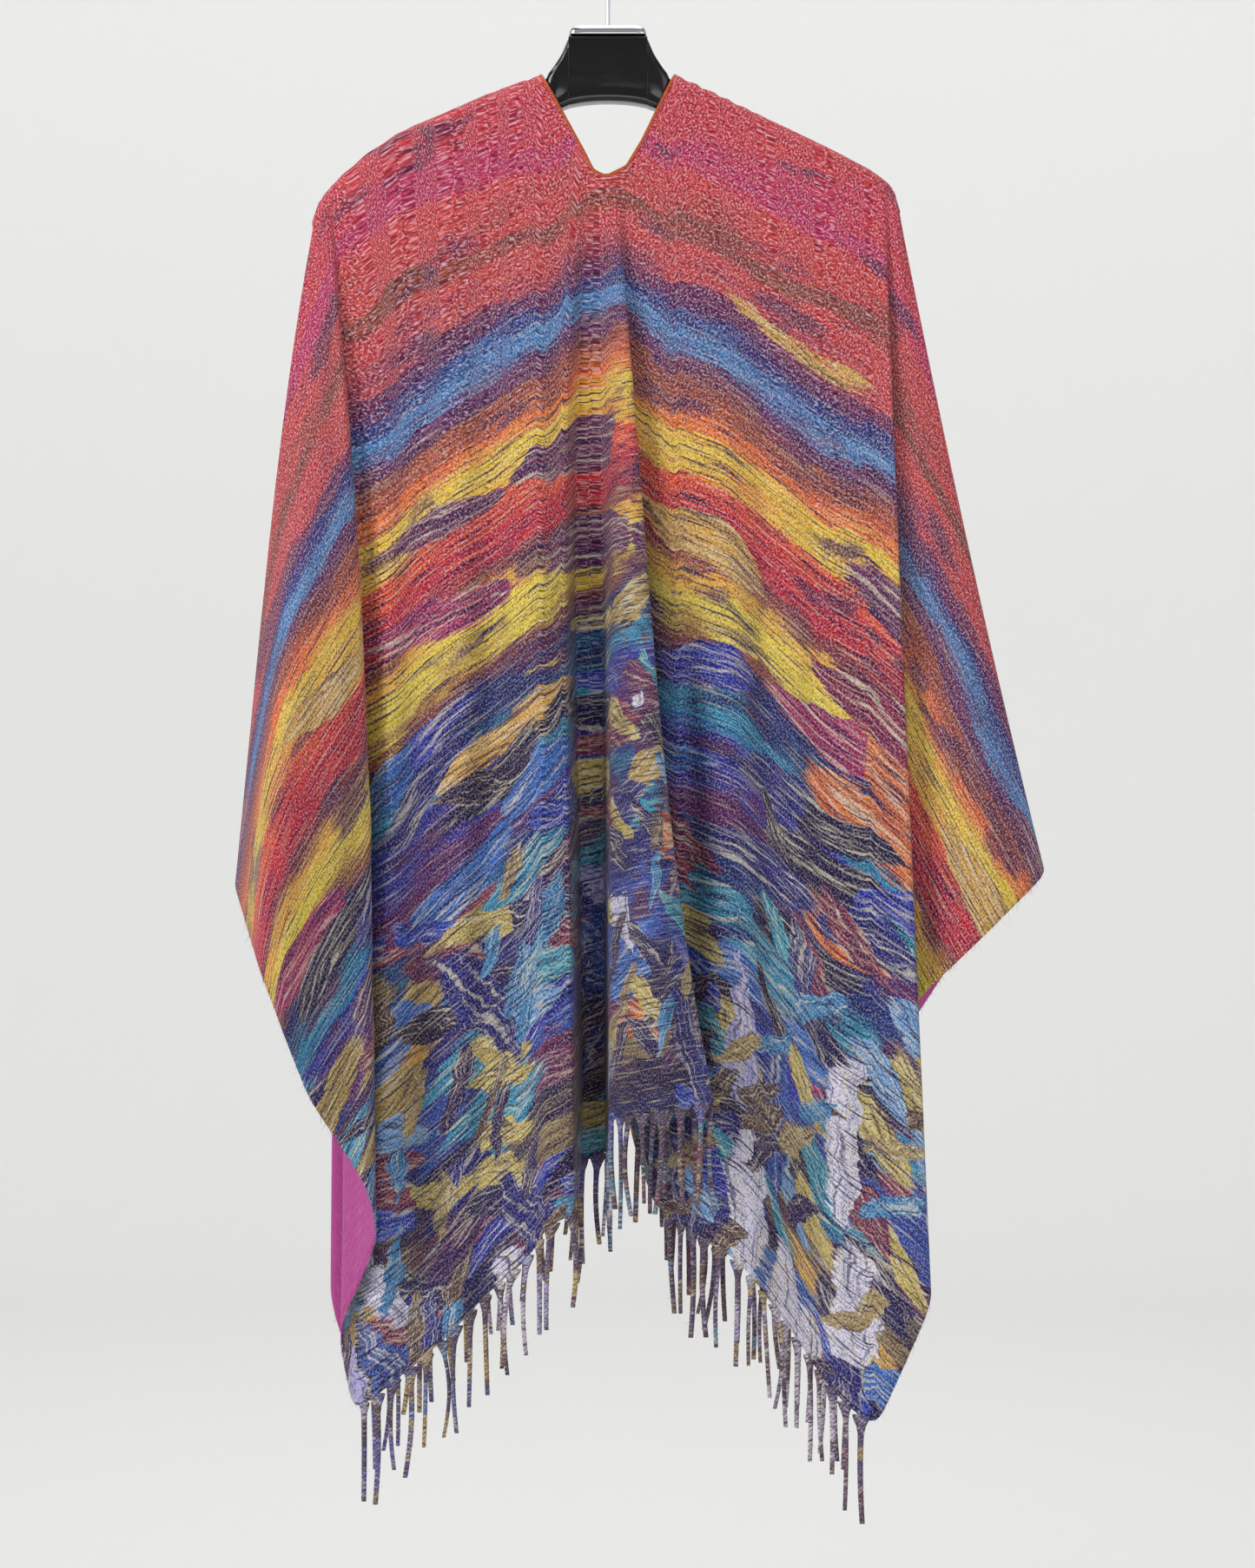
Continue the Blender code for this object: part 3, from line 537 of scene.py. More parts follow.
def fringe(name, hem, u_hem, seed, finishes):
    """Twisted strands along the hem.

    Each is a tube whose section is an ellipse: wide and thin at its root, where threads gather from the hem,
    and round below. Its middle line hangs down from the hem with a slight lean and one slow bow.
    """
    rng = np.random.default_rng(seed)
    length = lengths_along(hem)
    count = int((length[-1] - FRINGE_END_ROOM) // FRINGE_PITCH)
    starts = (length[-1] - count * FRINGE_PITCH) / 2 + (np.arange(count) + 0.5) * FRINGE_PITCH
    every = np.arange(0, length[-1], 1.0)
    at = sampled(length, hem, starts)
    ahead = sampled(length, hem, starts + SLOPE_REACH) - sampled(length, hem, starts - SLOPE_REACH)
    apart = np.linalg.norm(sampled(length, hem, every)[None, :, :2] - at[:, None, :2], axis=2)
    elsewhere = np.abs(every[None] - starts[:, None]) > OWN_HEM
    crowded = ((apart < STRAND_ROOM) & elsewhere).any(axis=1)
    keep = ~crowded & (np.abs(ahead[:, 2]) / (2 * SLOPE_REACH) < STEEPEST_HEM)
    at, ahead, u = at[keep], ahead[keep], np.interp(starts, length, u_hem)[keep]
    strands = len(at)

    flatness = np.linalg.norm(ahead[:, :2], axis=1) / np.linalg.norm(ahead, axis=1)
    side = unit(ahead * [1, 1, 0])
    depth = np.stack([-side[:, 1], side[:, 0], np.zeros(strands)], axis=1)
    s = np.linspace(0, 1, STRAND_RINGS) ** 1.7
    down = FRINGE_LENGTH * rng.uniform(0.84, 1.1, strands)[:, None] * s
    lean = (rng.normal(0, 1, (strands, 2)) * STRAND_LEAN).clip(-STRAND_MOST_LEAN, STRAND_MOST_LEAN)
    bow = rng.normal(0, 1, (strands, 2)) * STRAND_BOW
    line = np.repeat(at[:, None], STRAND_RINGS, axis=1)
    line[..., 2] += STRAND_OVERLAP - down
    line[..., :2] += lean[:, None] * (s**1.6)[:, None] + bow[:, None] * np.sin(math.pi * s)[:, None]

    gather = np.exp(-((down / ROOT_DROP) ** 2))
    radius = STRAND_RADIUS * rng.uniform(0.9, 1.25, strands)[:, None] * (1 - 0.15 * s)
    wide = radius + gather * (ROOT_WIDTH * flatness[:, None] - radius)
    thin = radius + gather * (ROOT_HALF_THICKNESS - radius)
    turn = full_turn(STRAND_SIDES)
    across = wide[..., None] * np.cos(turn)
    points = (
        line[:, :, None] + side[:, None, None] * across[..., None]
        + depth[:, None, None] * (thin[..., None] * np.sin(turn))[..., None]
    )
    place = np.broadcast_arrays(u[:, None, None] + across, HALF_LENGTH + down[..., None])
    flat = np.stack(place, axis=-1)
    faces = many_tubes(strands, STRAND_RINGS, STRAND_SIDES)
    obj = new_object(name, points.reshape(-1, 3), faces, finishes, flat=flat.reshape(-1, 2))
    return obj, line, radius


def fibres(name, roots, ways, lengths, thickness, flat, seed, finishes):
    """Loose fibres: each a thin spike that tapers to a hair and curls away as the square of the share of its
    length."""
    rng = np.random.default_rng(seed)
    count = len(roots)
    curl = rng.normal(0, FIBRE_CURL, (count, 3))
    s = np.linspace(0, 1, FIBRE_RINGS)
    gone = (lengths[:, None] * s)[..., None]
    line = roots[:, None] + ways[:, None] * gone + curl[:, None] * gone * s[:, None]
    aside = unit(np.cross(ways, rng.normal(0, 1, (count, 3))))
    above = np.cross(ways, aside)
    turn = full_turn(FIBRE_SIDES)
    radius = thickness / 2 * (1 - 0.75 * s)
    points = line[:, :, None] + radius[None, :, None, None] * (
        aside[:, None, None] * np.cos(turn)[:, None] + above[:, None, None] * np.sin(turn)[:, None]
    )
    faces = many_tubes(count, FIBRE_RINGS, FIBRE_SIDES)
    place = np.repeat(flat, FIBRE_RINGS * FIBRE_SIDES, axis=0)
    return new_object(name, points.reshape(-1, 3), faces, finishes, flat=place)


def edge_fibres(name, grid, middle, normal, seed, finishes):
    """Fuzz on a panel's raw side edge, at random places down the part of its last row that is not the hem."""
    rng = np.random.default_rng(seed)
    on_side = np.flatnonzero(np.abs(grid[:, -1, 3]) > HALF_WIDTH - 0.5)
    runs = np.split(on_side, np.flatnonzero(np.diff(on_side) > 1) + 1)
    roots, ways, flats = [], [], []
    for run in runs:
        if len(run) < 3:
            continue
        edge = middle[run, -1]
        out = unit(edge - middle[run, -2])
        length = lengths_along(edge)
        at = rng.uniform(0, length[-1], int(FIBRES_A_METRE * length[-1] / 1000))
        root, way, upright, flat = (
            sampled(length, part, at) for part in (edge, out, normal[run, -1], grid[run, -1, 3:])
        )
        roots.append(root + upright * rng.uniform(-0.6, 0.6, (len(at), 1)))
        ways.append(way + upright * rng.normal(0, 0.35, (len(at), 1)))
        flats.append(flat)
    roots, ways, flats = (np.concatenate(part) for part in (roots, ways, flats))
    return fibres(name, roots, unit(ways), rng.uniform(1.2, 4.2, len(roots)), 0.22, flats, seed, finishes)


def strand_fibres(name, line, radius, seed, finishes):
    """Fuzz on the fringe: fibres that leave the strands sideways at random heights, below their roots."""
    rng = np.random.default_rng(seed)
    count = FIBRES_A_STRAND * len(line)
    strand = rng.integers(0, len(line), count)
    ring = rng.integers(5, STRAND_RINGS - 1, count)
    angle = rng.uniform(0, 2 * math.pi, count)
    ways = unit(np.stack([np.cos(angle), np.sin(angle), rng.normal(-0.2, 0.3, count)], axis=1))
    roots = line[strand, ring] + ways * radius[strand, ring][:, None] * 0.8
    flats = np.stack([roots[:, 0], np.full(count, HALF_LENGTH)], axis=1)
    return fibres(name, roots, ways, rng.uniform(1.0, 3.0, count), 0.16, flats, seed, finishes)


def binding(name, path, away, finishes):
    """A folded tape over the cloth's edge, with its stitches.

    The tape is a rounded rectangle carried along the edge, square to it. Each stitch is a bead along the
    tape, whose width is a half ellipse in the share of its length.
    """
    ahead = unit(np.gradient(path, axis=0))
    across = unit(away - ahead * (away * ahead).sum(axis=1, keepdims=True))
    depth = np.cross(ahead, across)
    turn = full_turn(BINDING_SIDES)
    c, s = superellipse(turn, BINDING_SQUARENESS)
    a = (BINDING_OUT - BINDING_IN) / 2 + (BINDING_OUT + BINDING_IN) / 2 * c
    b = BINDING_HALF_THICKNESS * s
    tape = path[:, None] + across[:, None] * a[:, None] + depth[:, None] * b[:, None]
    length = lengths_along(path)
    tape_flat = np.stack(np.broadcast_arrays(turn[None] * 2.0, length[:, None]), axis=-1)
    faces = tube_faces(len(path), BINDING_SIDES)
    tape_faces = len(faces)

    places = np.arange(STITCH_END_ROOM, length[-1] - STITCH_END_ROOM, STITCH_PITCH)
    at, along, over, out = (
        sampled(length, part, places)[:, None, None] for part in (path, ahead, across, depth)
    )
    s = np.linspace(-1, 1, STITCH_RINGS)[:, None, None]
    swell = STITCH_HALF_WIDTH * np.sqrt(1 - (s * 0.97) ** 2)
    around = full_turn(STITCH_SIDES)[:, None]
    bead = along * STITCH_HALF_LENGTH * s + swell * (over * np.cos(around) + out * np.sin(around))
    points, flat = [tape.reshape(-1, 3)], [tape_flat.reshape(-1, 2)]
    row = at - over * (BINDING_IN - STITCH_INSET)
    for height in (-BINDING_HALF_THICKNESS * STITCH_HEIGHT, BINDING_HALF_THICKNESS * STITCH_HEIGHT):
        faces += many_tubes(len(places), STITCH_RINGS, STITCH_SIDES, first=sum(map(len, points)))
        points.append((row + out * height + bead).reshape(-1, 3))
        flat.append(np.zeros((len(points[-1]), 2)))
    indices = np.arange(len(faces)) >= tape_faces
    return new_object(name, np.concatenate(points), faces, finishes, indices, np.concatenate(flat))


def smooth_through(values, count):
    """A smooth curve through rows of values: between two rows, the cubic whose slopes there are half the step
    between the rows on each side."""
    values = np.asarray(values, float)
    padded = np.concatenate([[2 * values[0] - values[1]], values, [2 * values[-1] - values[-2]]])
    place = np.linspace(0, len(values) - 1, count)
    step = np.minimum(place.astype(int), len(values) - 2)
    t = (place - step)[:, None]
    before, start, end, after = (padded[step + k] for k in range(4))
    return 0.5 * (
        2 * start + (end - before) * t + (2 * before - 5 * start + 4 * end - after) * t**2
        + (3 * start - before - 3 * end + after) * t**3
    )


def hanger_body(finishes):
    """Superellipse sections from tip to tip between the top and bottom lines, with bell-shaped grooves."""
    half = np.array(HANGER_STATIONS)
    rows = smooth_through(np.concatenate([half[:0:-1] * [-1, 1, 1, 1, 1], half]), HANGER_SECTIONS)
    x, top, bottom, half_depth, squareness = (rows[:, k : k + 1] for k in range(5))
    c, s = superellipse(full_turn(HANGER_SIDES) + math.pi / HANGER_SIDES, squareness)
    cut = sum(depth * np.exp(-(((s - place) / half_width) ** 2)) for place, half_width, depth in GROOVES)
    z = (top + bottom) / 2 + (top - bottom) / 2 * s
    points = np.stack(np.broadcast_arrays(x, half_depth * (1 - cut) * c, z), axis=-1)
    faces = [face[::-1] for face in tube_faces(len(rows), HANGER_SIDES)]
    return new_object("moulded_hanger", points.reshape(-1, 3), faces, finishes)


def hanger_cap(finishes):
    """Rounded rectangles stacked up, drawn in at the foot and over the top as a pressed metal cap is."""
    fine = smooth_through(CAP_PROFILE, CAP_RINGS)
    inset, share = fine[:, :1], fine[:, 1:].clip(0, 1)
    c, s = superellipse(full_turn(CAP_SIDES) + math.pi / CAP_SIDES, CAP_SQUARENESS)
    wide = CAP_HALF_WIDTH + (CAP_TOP_HALF_WIDTH - CAP_HALF_WIDTH) * share - inset
    z = CAP_BOTTOM_Z + (CAP_TOP_Z - CAP_BOTTOM_Z) * share
    points = np.stack(np.broadcast_arrays(wide * c, (CAP_HALF_DEPTH - inset) * s, z), axis=-1)
    return new_object("metal_cap", points.reshape(-1, 3), tube_faces(CAP_RINGS, CAP_SIDES), finishes)


def hook(finishes):
    """A round wire carried along its path, whose radius falls to 0 at the tip as a quarter circle does."""
    angles = np.radians(np.linspace(*HOOK_ANGLES, 22))
    centre_z = HOOK_WIRE / 2 - HOOK_RADIUS
    loop = np.stack([HOOK_RADIUS * np.cos(angles), centre_z + HOOK_RADIUS * np.sin(angles)], axis=1)
    path = smooth_through(np.concatenate([HOOK_STEM, loop]), HOOK_SECTIONS)
    ahead = unit(np.gradient(path, axis=0))
    gone = lengths_along(path)
    left = (gone[-1] - gone + 0.05)[:, None]
    radius = HOOK_WIRE / 2 * np.sqrt(1 - np.clip(1 - left / HOOK_TIP, 0, 1) ** 2)
    turn = full_turn(HOOK_SIDES)
    x = path[:, :1] - ahead[:, 1:] * radius * np.cos(turn)
    z = path[:, 1:] + ahead[:, :1] * radius * np.cos(turn)
    points = np.stack([x, radius * np.sin(turn), z], axis=-1)
    return new_object("wire_hook", points.reshape(-1, 3), tube_faces(HOOK_SECTIONS, HOOK_SIDES), finishes)


def linear(colour):
    """An sRGB hex colour as linear red, green, blue and alpha 1."""
    parts = np.array([int(colour[k : k + 2], 16) / 255 for k in (1, 3, 5)])
    return (*np.where(parts <= 0.04045, parts / 12.92, ((parts + 0.055) / 1.055) ** 2.4), 1.0)


def plain(value):
    """A value as a socket takes it: a hex colour made linear, and anything else as it is."""
    return linear(value) if isinstance(value, str) else value


def add(tree, kind, *inputs, **settings):
    """Adds one node. Settings are its properties. Inputs fill its sockets in order: a node gives its first
    output, a socket is linked, a hex colour or a number is set, and None leaves the socket as it is."""
    node = tree.nodes.new("ShaderNode" + kind)
    for name, value in settings.items():
        setattr(node, name, value)
    for socket, value in zip(node.inputs, inputs):
        if isinstance(value, bpy.types.Node):
            value = value.outputs[0]
        if isinstance(value, bpy.types.NodeSocket):
            tree.links.new(value, socket)
        elif value is not None:
            socket.default_value = plain(value)
    return node


def new_material(name, **values):
    """A material with constants set on its shader's sockets, by their names with underscores for spaces."""
    finish = bpy.data.materials.new(name)
    finish.use_nodes = True
    shader = finish.node_tree.nodes["Principled BSDF"]
    for key, value in values.items():
        shader.inputs[key.replace("_", " ")].default_value = plain(value)
    return finish, finish.node_tree, shader


def drive(tree, shader, **sources):
    """Links nodes to the shader's sockets, named as in new_material."""
    for key, node in sources.items():
        tree.links.new(node.outputs[0], shader.inputs[key.replace("_", " ")])


def stretched_noise(tree, place, scales, *grain):
    """A noise with a scale for each axis, then its detail, and its roughness if that isn't the usual one."""
    scaled = add(tree, "VectorMath", place, scales, operation="MULTIPLY")
    return add(tree, "TexNoise", scaled, None, 1.0, *grain)


def ramp(tree, source, stops, interpolation="LINEAR"):
    """A colour ramp with its stops from rows of place and hex colour."""
    node = add(tree, "ValToRGB", source)
    node.color_ramp.interpolation = interpolation
    elements = node.color_ramp.elements
    while len(elements) > 1:
        elements.remove(elements[-1])
    for number, (place, colour) in enumerate(stops):
        element = elements[0] if number == 0 else elements.new(place)
        element.position = place
        element.color = linear(colour)
    return node


# The print's bands down the cloth: where each starts, in mm below the shoulder line, and its colour
BANDS = [
    (0, "#CE3E3E"), (48, "#BE3262"), (62, "#D24440"), (98, "#86442E"), (112, "#D04840"),
    (140, "#722850"), (154, "#222C78"), (164, "#468CC6"), (180, "#5E2A62"), (196, "#9A4A2A"),
    (214, "#EA6A22"), (230, "#EECA34"), (258, "#E45422"), (276, "#D02A30"), (304, "#7E2038"),
    (316, "#E8A834"), (332, "#F0D640"), (358, "#94522E"), (370, "#0F1C66"), (408, "#2C92B4"),
    (422, "#223AA0"), (462, "#68285E"), (480, "#122878"), (524, "#349CB4"), (542, "#111E6C"),
    (596, "#3458B0"), (636, "#0E1644"), (676, "#8E7A4C"), (700, "#1C1630"), (728, "#121C50"),
]
PRINT_LENGTH = 775.0
# The yarns turn once in 7 mm and show two ridges to a turn
TWIST_SLOPE = (190, 190, 0)

# Noises that break up the print: how many to the metre across and down, detail and roughness
Grain = namedtuple("Grain", "across down detail rough")
GRAINS = {
    "slow": Grain(5, 8, 2, 0.5),
    "wander": Grain(9, 40, 3, 0.55),
    "feather": Grain(26, 420, 4, 0.6),
    "hairs": Grain(16, 620, 3, 0.6),
    "patches": Grain(9, 26, 4, 0.6),
    "mottle": Grain(210, 260, 4, 0.65),
    "grain": Grain(620, 560, 3, 0.7),
}
# How far three of them move the bands' edges, in metres
WANDER = {"slow": 0.05, "wander": 0.030, "feather": 0.026}

# Leaf-shaped dabs: length, width and tilt, the place down the cloth where they begin and are at their
# thickest, the share of places that hold one, and their colours
Dabs = namedtuple("Dabs", "length width tilt begin full share colours")
DABS = [
    Dabs(150, 34, 8, 50, 250, 0.22, ["#962A44", "#E47626", "#DCA83A", "#B23262", "#723058"]),
    Dabs(130, 32, -10, 330, 420, 0.70,
         ["#1A3AB0", "#2E96BC", "#0A1238", "#B89A44", "#52265A", "#3074C8", "#10267C"]),
    Dabs(84, 22, 20, 370, 500, 0.46,
         ["#34A4BE", "#0D1850", "#CEB85C", "#1E1628", "#264EC0", "#8A3248", "#78AADC"]),
    Dabs(110, 46, 58, 430, 600, 0.36, ["#B8B4E6", "#E2DFF6", "#12267C", "#3A62B4", "#E6E2F8"]),
    Dabs(62, 18, -38, 480, 660, 0.32, ["#6E5638", "#1A308A", "#3A8EC4", "#B49C5C", "#34244E"]),
]

# Speckles over the print: they begin and are full at two values of their noise, and grow from an eighth of
# their strength to all of it between two places down the cloth
SPECKLES = [
    # noise, begins, full, strength, colour, grows from, grown at, laid on
    ("mottle", 0.52, 0.66, 0.45, "#3A1438", -60, -50, "MIX"),
    ("mottle", 0.46, 0.34, 0.40, "#A85A60", 420, 160, "SCREEN"),
    ("hairs", 0.54, 0.60, 0.90, "#171040", 90, 240, "MIX"),
    ("hairs", 0.44, 0.36, 0.40, "#E4D8AC", 90, 240, "MIX"),
    ("grain", 0.52, 0.62, 0.45, "#BEB0CC", -60, -50, "SCREEN"),
    ("grain", 0.52, 0.62, 0.50, "#C8B4BC", 400, 140, "SCREEN"),
    ("grain", 0.47, 0.36, 0.80, "#1C0E3C", -60, -50, "MIX"),
]


def dabbed(tree, colour, number, dabs, bent, down, feather):
    """The print with one kind of dab over it: stretched and tilted cells, of which a share is painted, with a
    ragged edge and the bristles' dark and light streaks."""
    laid = add(tree, "Mapping", bent, (0.31 * number, 0.17 * number, 0), (0, 0, math.radians(dabs.tilt)),
               (dabs.length * MM, dabs.width * MM, 1), vector_type="TEXTURE")
    cell = add(tree, "TexVoronoi", laid, None, 1.0, voronoi_dimensions="2D")
    chance = add(tree, "SeparateColor", cell.outputs["Color"])
    ragged = add(tree, "Math", feather, 0.5, cell, operation="MULTIPLY_ADD")
    shape = add(tree, "MapRange", ragged, 0.80, 0.76, 0.0, 1.0)
    allowed = add(tree, "MapRange", down, dabs.begin * MM, dabs.full * MM, 0.0, dabs.share)
    chosen = add(tree, "Math", allowed, chance.outputs[1], operation="GREATER_THAN")
    stops = [(place / len(dabs.colours), tint) for place, tint in enumerate(dabs.colours)]
    paint = ramp(tree, chance.outputs[0], stops, "CONSTANT")
    bristle = stretched_noise(tree, laid, (1.4, 11, 0), 4.0)
    paint = add(tree, "MixRGB", add(tree, "MapRange", bristle, 0.52, 0.64, 0.0, 0.75), paint, "#161A48")
    paint = add(tree, "MixRGB", add(tree, "MapRange", bristle, 0.47, 0.38, 0.0, 0.7), paint, "#DCD4BC")
    return add(tree, "MixRGB", add(tree, "Math", shape, chosen, operation="MULTIPLY"), colour, paint)


def printed(name, twisted):
    """The cloth's outer face, and the yarns of its fringe: brushed acrylic, printed in ragged bands with
    leaf-shaped dabs over them.

    The print soaks in along the weft, so its edges are feathered and streaky. The nap gives the surface a
    heathered speckle, drawn about 1.6 mm wide so that it shows. The pattern is drawn on the flat cloth, in
    metres, and runs on down the fringe, where the yarns' twist shows as ridges, with painted shade that
    darkens its grooves.
    """
    finish, tree, shader = new_material(
        name, Roughness=0.84, Sheen_Weight=0.12, Sheen_Roughness=0.4, Sheen_Tint="#F4E8E4",
        Specular_IOR_Level=0.2,
    )
    flat = add(tree, "UVMap", uv_map="flat")
    noise = {
        kind: stretched_noise(tree, flat, (grain.across, grain.down, 0), grain.detail, grain.rough)
        for kind, grain in GRAINS.items()
    }
    down = add(tree, "SeparateXYZ", flat).outputs[1]
    for kind, reach in WANDER.items():
        down = add(tree, "Math", noise[kind], reach, down, operation="MULTIPLY_ADD")
    down = add(tree, "Math", down, sum(WANDER.values()) / 2, operation="SUBTRACT")

    share = add(tree, "Math", down, PRINT_LENGTH * MM, operation="DIVIDE")
    bands = [(start / PRINT_LENGTH, band) for start, band in BANDS]
    soft, sharp = ramp(tree, share, bands), ramp(tree, share, bands, "CONSTANT")
    colour = add(tree, "MixRGB", add(tree, "MapRange", noise["wander"], 0.40, 0.52, 0.0, 0.85), soft, sharp)
    low = add(tree, "MapRange", noise["patches"], 0.56, 0.63, 0.0, 0.8)
    colour = add(tree, "MixRGB", low, colour, "#5A2A48")

    bent = add(tree, "VectorMath", noise["wander"].outputs["Color"], (0.05, 0.018, 0), flat,
               operation="MULTIPLY_ADD")
    for number, dabs in enumerate(DABS):
        colour = dabbed(tree, colour, number, dabs, bent, down, noise["feather"])
    for kind, empty, full, most, tint, begin, thick, blend in SPECKLES:
        strength = add(tree, "MapRange", down, begin * MM, thick * MM, 0.12 * most, most)
        mask = add(tree, "MapRange", noise[kind], empty, full, 0.0, strength)
        colour = add(tree, "MixRGB", mask, colour, tint, blend_type=blend)

    surface = add(tree, "Math", noise["feather"], 0.5, noise["grain"], operation="MULTIPLY_ADD")
    if twisted:
        twist = add(tree, "TexWave", add(tree, "VectorMath", flat, TWIST_SLOPE, operation="MULTIPLY"), 1.0,
                    bands_direction="DIAGONAL").outputs[1]
        surface = add(tree, "Math", twist, 1.4, surface, operation="MULTIPLY_ADD")
        colour = add(tree, "MixRGB", 0.14, colour, "#E8C8C0")
        # painted shade: the colour is darkened in the twist's grooves, where shade falls
        colour = add(tree, "MixRGB", add(tree, "MapRange", twist, 0.4, 0.0, 0.0, 0.45), colour, "#1A1030")
    bump = add(tree, "Bump", 0.8 if twisted else 0.5, 0.0006, None, surface)
    drive(tree, shader, Base_Color=colour, Normal=bump)
    return finish


def plain_inside():
    """The cloth's inner face: the same twill dyed one orchid magenta and brushed, so it looks soft and even,
    with fine lengthwise lines."""
    finish, tree, shader = new_material(
        "brushed acrylic twill, dyed magenta", Roughness=0.88, Sheen_Weight=0.4, Sheen_Roughness=0.4,
        Sheen_Tint="#F6D8EC", Specular_IOR_Level=0.25,
    )
    flat = add(tree, "UVMap", uv_map="flat")
    lines = stretched_noise(tree, flat, (1100, 90, 0), 3.0)
    nap = add(tree, "Math", add(tree, "TexNoise", flat, None, 800.0, 4.0, 0.65), 0.5, operation="MULTIPLY")
    mixed = add(tree, "Math", lines, 0.5, nap, operation="MULTIPLY_ADD")
    colour = ramp(tree, mixed, [(0.36, "#A23A80"), (0.5, "#B84A93"), (0.64, "#CB6AA8")])
    drive(tree, shader, Base_Color=colour, Normal=add(tree, "Bump", 0.45, 0.0005, None, mixed))
    return finish


def bias_tape():
    """Binding: folded cotton tape in rust orange, with fine ribs across it and a slight sheen."""
    finish, tree, shader = new_material("cotton tape, rust orange", Roughness=0.7, Sheen_Weight=0.25)
    ribs = stretched_noise(tree, add(tree, "UVMap", uv_map="flat"), (120, 1500, 0), 2.0)
    colour = ramp(tree, ribs, [(0.35, "#9C3A12"), (0.5, "#B84A1A"), (0.68, "#CF6430")])
    drive(tree, shader, Base_Color=colour, Normal=add(tree, "Bump", 0.4, 0.0003, None, ribs))
    return finish


def sewing_thread():
    """Stitches: polyester thread a little lighter than the tape, smooth enough to glint."""
    return new_material("polyester thread, orange", Base_Color="#D8743A", Roughness=0.45)[0]


def black_plastic():
    """Hanger: gloss polystyrene from a polished mould, so it mirrors the lights, with faint scuffs."""
    finish, tree, shader = new_material("gloss polystyrene, black", Base_Color="#050507", IOR=1.5)
    place = add(tree, "TexCoord").outputs["Object"]
    rough = add(tree, "MapRange", stretched_noise(tree, place, (60, 60, 160), 5.0), 0.4, 0.75, 0.07, 0.24)
    waves = add(tree, "TexNoise", place, None, 28.0, 2.0)
    drive(tree, shader, Roughness=rough, Normal=add(tree, "Bump", 0.05, 0.002, None, waves))
    return finish


def chrome(name, roughness):
    """Plated metal: bright, almost a mirror, with a slightly wavy and finely rubbed surface."""
    finish, tree, shader = new_material(name, Base_Color="#D9DBE0", Metallic=1.0)
    place = add(tree, "TexCoord").outputs["Object"]
    rubbed = add(tree, "TexNoise", place, None, 400.0, 4.0)
    rough = add(tree, "MapRange", rubbed, 0.3, 0.7, roughness * 0.7, roughness * 1.5)
    waves = add(tree, "TexNoise", place, None, 60.0, 2.0)
    drive(tree, shader, Roughness=rough, Normal=add(tree, "Bump", 0.08, 0.001, None, waves))
    return finish


# The backdrop, in mm: the floor's height and its reach, the curve's radius and the top of the wall
FLOOR_Z = -1500.0
FLOOR_REACH = 4200.0
CURVE_RADIUS = 1200.0
WALL_TOP_Z = 4200.0

LAMPS = [
    # name, place and aim in metres, width, height, watts
    ("key light", (-2.6, -2.2, 0.9), (0, 0, -0.6), 1.3, 1.3, 62),
    ("fill light", (2.2, -2.6, 0.0), (0, 0, -0.6), 2.0, 2.0, 17),
    ("front light", (0.3, -4.2, -0.95), (0, 0, -0.7), 1.8, 1.0, 13),
    ("top light", (0.2, -0.5, 2.0), (0, 0, -0.5), 1.6, 1.6, 12),
    ("backdrop light", (0.0, 1.4, 3.0), (0, 5.4, -0.6), 3.0, 3.0, 120),
]
AIR_COLOUR = "#F1F1F2"
AIR_STRENGTH = 0.2

# The camera, level with the picture's middle, in metres, and its lens on a frame 36 mm high
CAMERA_PLACE = (0.01395, -3.0, -0.61686)
CAMERA_LENS = 96.45


def studio():
    """A round backdrop and large soft lights. The backdrop's profile is a flat floor, a quarter circle up and
    an upright wall, and each point of it goes round in a circle."""
    bend = np.radians(np.linspace(0, 90, 16))
    radius = np.concatenate([
        [1500.0, 3000.0], FLOOR_REACH + CURVE_RADIUS * np.sin(bend), [FLOOR_REACH + CURVE_RADIUS]
    ])
    height = np.concatenate([
        [FLOOR_Z, FLOOR_Z], FLOOR_Z + CURVE_RADIUS * (1 - np.cos(bend)), [WALL_TOP_Z]
    ])
    turn = np.radians(np.arange(360, 0, -5))
    points = np.stack(np.broadcast_arrays(
        np.outer(radius, np.cos(turn)), np.outer(radius, np.sin(turn)), height[:, None]
    ), axis=2)
    faces = tube_faces(len(radius), len(turn), closed_ends=False) + [tuple(range(len(turn)))[::-1]]
    paper = new_material("matt backdrop paper", Base_Color="#ECECEB", Roughness=0.95)[0]
    backdrop = new_object("backdrop", points.reshape(-1, 3), faces, [paper])

    for name, place, aim, width, height, watts in LAMPS:
        data = bpy.data.lights.new(name, "AREA")
        data.shape = "RECTANGLE"
        data.size, data.size_y, data.energy = width, height, watts
        light = placed(name, data)
        light.location = place
        way = np.array(aim) - place
        tilt = math.acos(-way[2] / np.linalg.norm(way))
        light.rotation_euler = (tilt, 0, math.atan2(way[1], way[0]) - math.pi / 2)
    world = bpy.data.worlds.new("studio air")
    world.use_nodes = True
    air = world.node_tree.nodes["Background"].inputs
    air["Color"].default_value = linear(AIR_COLOUR)
    air["Strength"].default_value = AIR_STRENGTH
    bpy.context.scene.world = world
    bpy.context.scene.view_settings.view_transform = "Standard"


def camera():
    """Level with the middle of the picture and 3 m from the garment's back, as the photo was taken."""
    data = bpy.data.cameras.new("camera")
    data.sensor_width = 36
    data.lens = CAMERA_LENS
    view = placed("camera", data)
    view.location = CAMERA_PLACE
    view.rotation_euler = (math.pi / 2, 0, 0)
    bpy.context.scene.camera = view


def place_on_part(obj, slot, *nodes):
    """The piece moves with the part's one body and stands for these CAD nodes. The slot is not used."""
    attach(obj, "root")
    if nodes:
        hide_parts(*nodes)


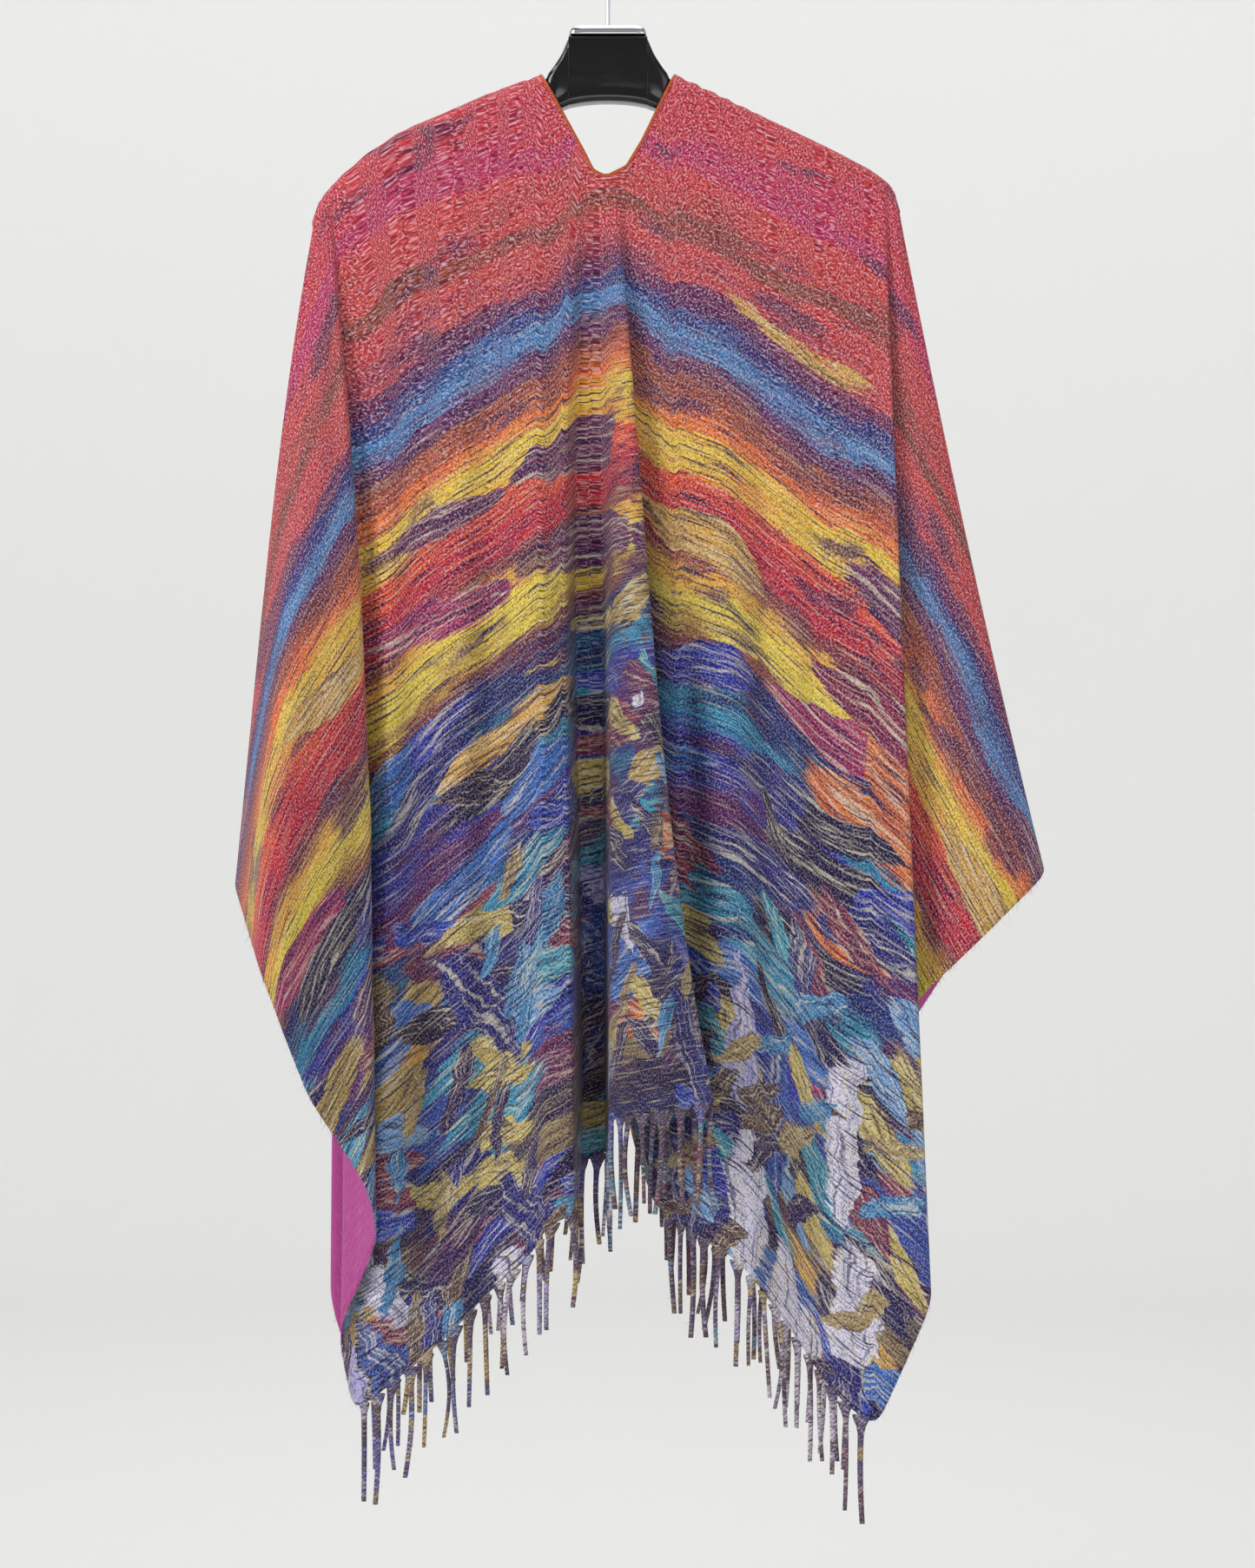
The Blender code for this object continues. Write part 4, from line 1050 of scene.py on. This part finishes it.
def bind_edge(name, panel, with_front_edge, finishes):
    """The binding along a panel's side of the slit: out of the cloth across the V and a little up, and
    straight up at the V's foot. On a front it runs on down the free edge."""
    grid, middle, _ = panel
    top = (np.abs(grid[:, 0, 3]) < 0.01) & (np.abs(middle[:, 0, 0]) < NECK_HALF_WIDTH + 0.1)
    path = middle[top, 0]
    share = np.clip(np.abs(path[:, 0]) / 8.0, 0, 1)
    away = np.stack([-np.sign(path[:, 0]) * 0.87 * share, np.zeros(len(path)), 1 - 0.51 * share], axis=1)
    if with_front_edge:
        free = middle[0, 1:]
        path = np.concatenate([path[::-1], free])
        away = np.concatenate([away[::-1], free - middle[1, 1:]])
    return binding(name, path, away, finishes)


def main():
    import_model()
    face, inside = printed("brushed acrylic twill, printed", False), plain_inside()
    yarn = printed("twisted acrylic yarn, printed", True)
    tape, thread = bias_tape(), sewing_thread()

    panels = {}
    for name, node, folds, facing, sign, creases, flat_width in (
        ("ruana_back", "back_panel", BACK_FOLDS, -1, 1, CREASES, 1.28),
        ("ruana_front_left", "front_left_panel", FRONT_LEFT_FOLDS, 1, 1, [], 0.64),
        ("ruana_front_right", "front_right_panel", FRONT_RIGHT_FOLDS, 1, -1, [], 0.64),
    ):
        grid = draped_grid(with_slit_columns(folds), facing)
        obj, middle, normal = cloth_panel(name, grid, sign, creases, [face, inside])
        place_on_part(obj, "cloth", node)
        panels[node] = (grid, middle, normal)

    for seed, (node, fringe_node, corners) in enumerate((
        ("back_panel", "back_fringe", (-HALF_WIDTH, HALF_WIDTH)),
        ("front_left_panel", "front_left_fringe", (-HALF_WIDTH, 0)),
        ("front_right_panel", "front_right_fringe", (0, HALF_WIDTH)),
    ), start=1):
        grid, middle, normal = panels[node]
        hem, u_hem = hem_between(grid, middle, *corners)
        obj, line, radius = fringe(fringe_node + "_strands", hem, u_hem, seed, [yarn])
        place_on_part(obj, "fringe", fringe_node)
        place_on_part(strand_fibres(fringe_node + "_fuzz", line, radius, seed, [yarn]), "fringe")
        place_on_part(edge_fibres(node + "_edge_fuzz", grid, middle, normal, seed + 10, [face]), "cloth")

    for node, panel, with_front_edge in (
        ("neck_binding", "back_panel", False),
        ("front_binding_left", "front_left_panel", True),
        ("front_binding_right", "front_right_panel", True),
    ):
        obj = bind_edge(node + "_tape", panels[panel], with_front_edge, [tape, thread])
        place_on_part(obj, "binding", node)

    place_on_part(hanger_body([black_plastic()]), "black_plastic", "hanger_body")
    place_on_part(hanger_cap([chrome("chrome plate, pressed cap", 0.07)]), "chrome", "hanger_cap")
    place_on_part(hook([chrome("chrome plate, drawn wire", 0.1)]), "chrome", "hanger_hook")

    studio()
    camera()


main()
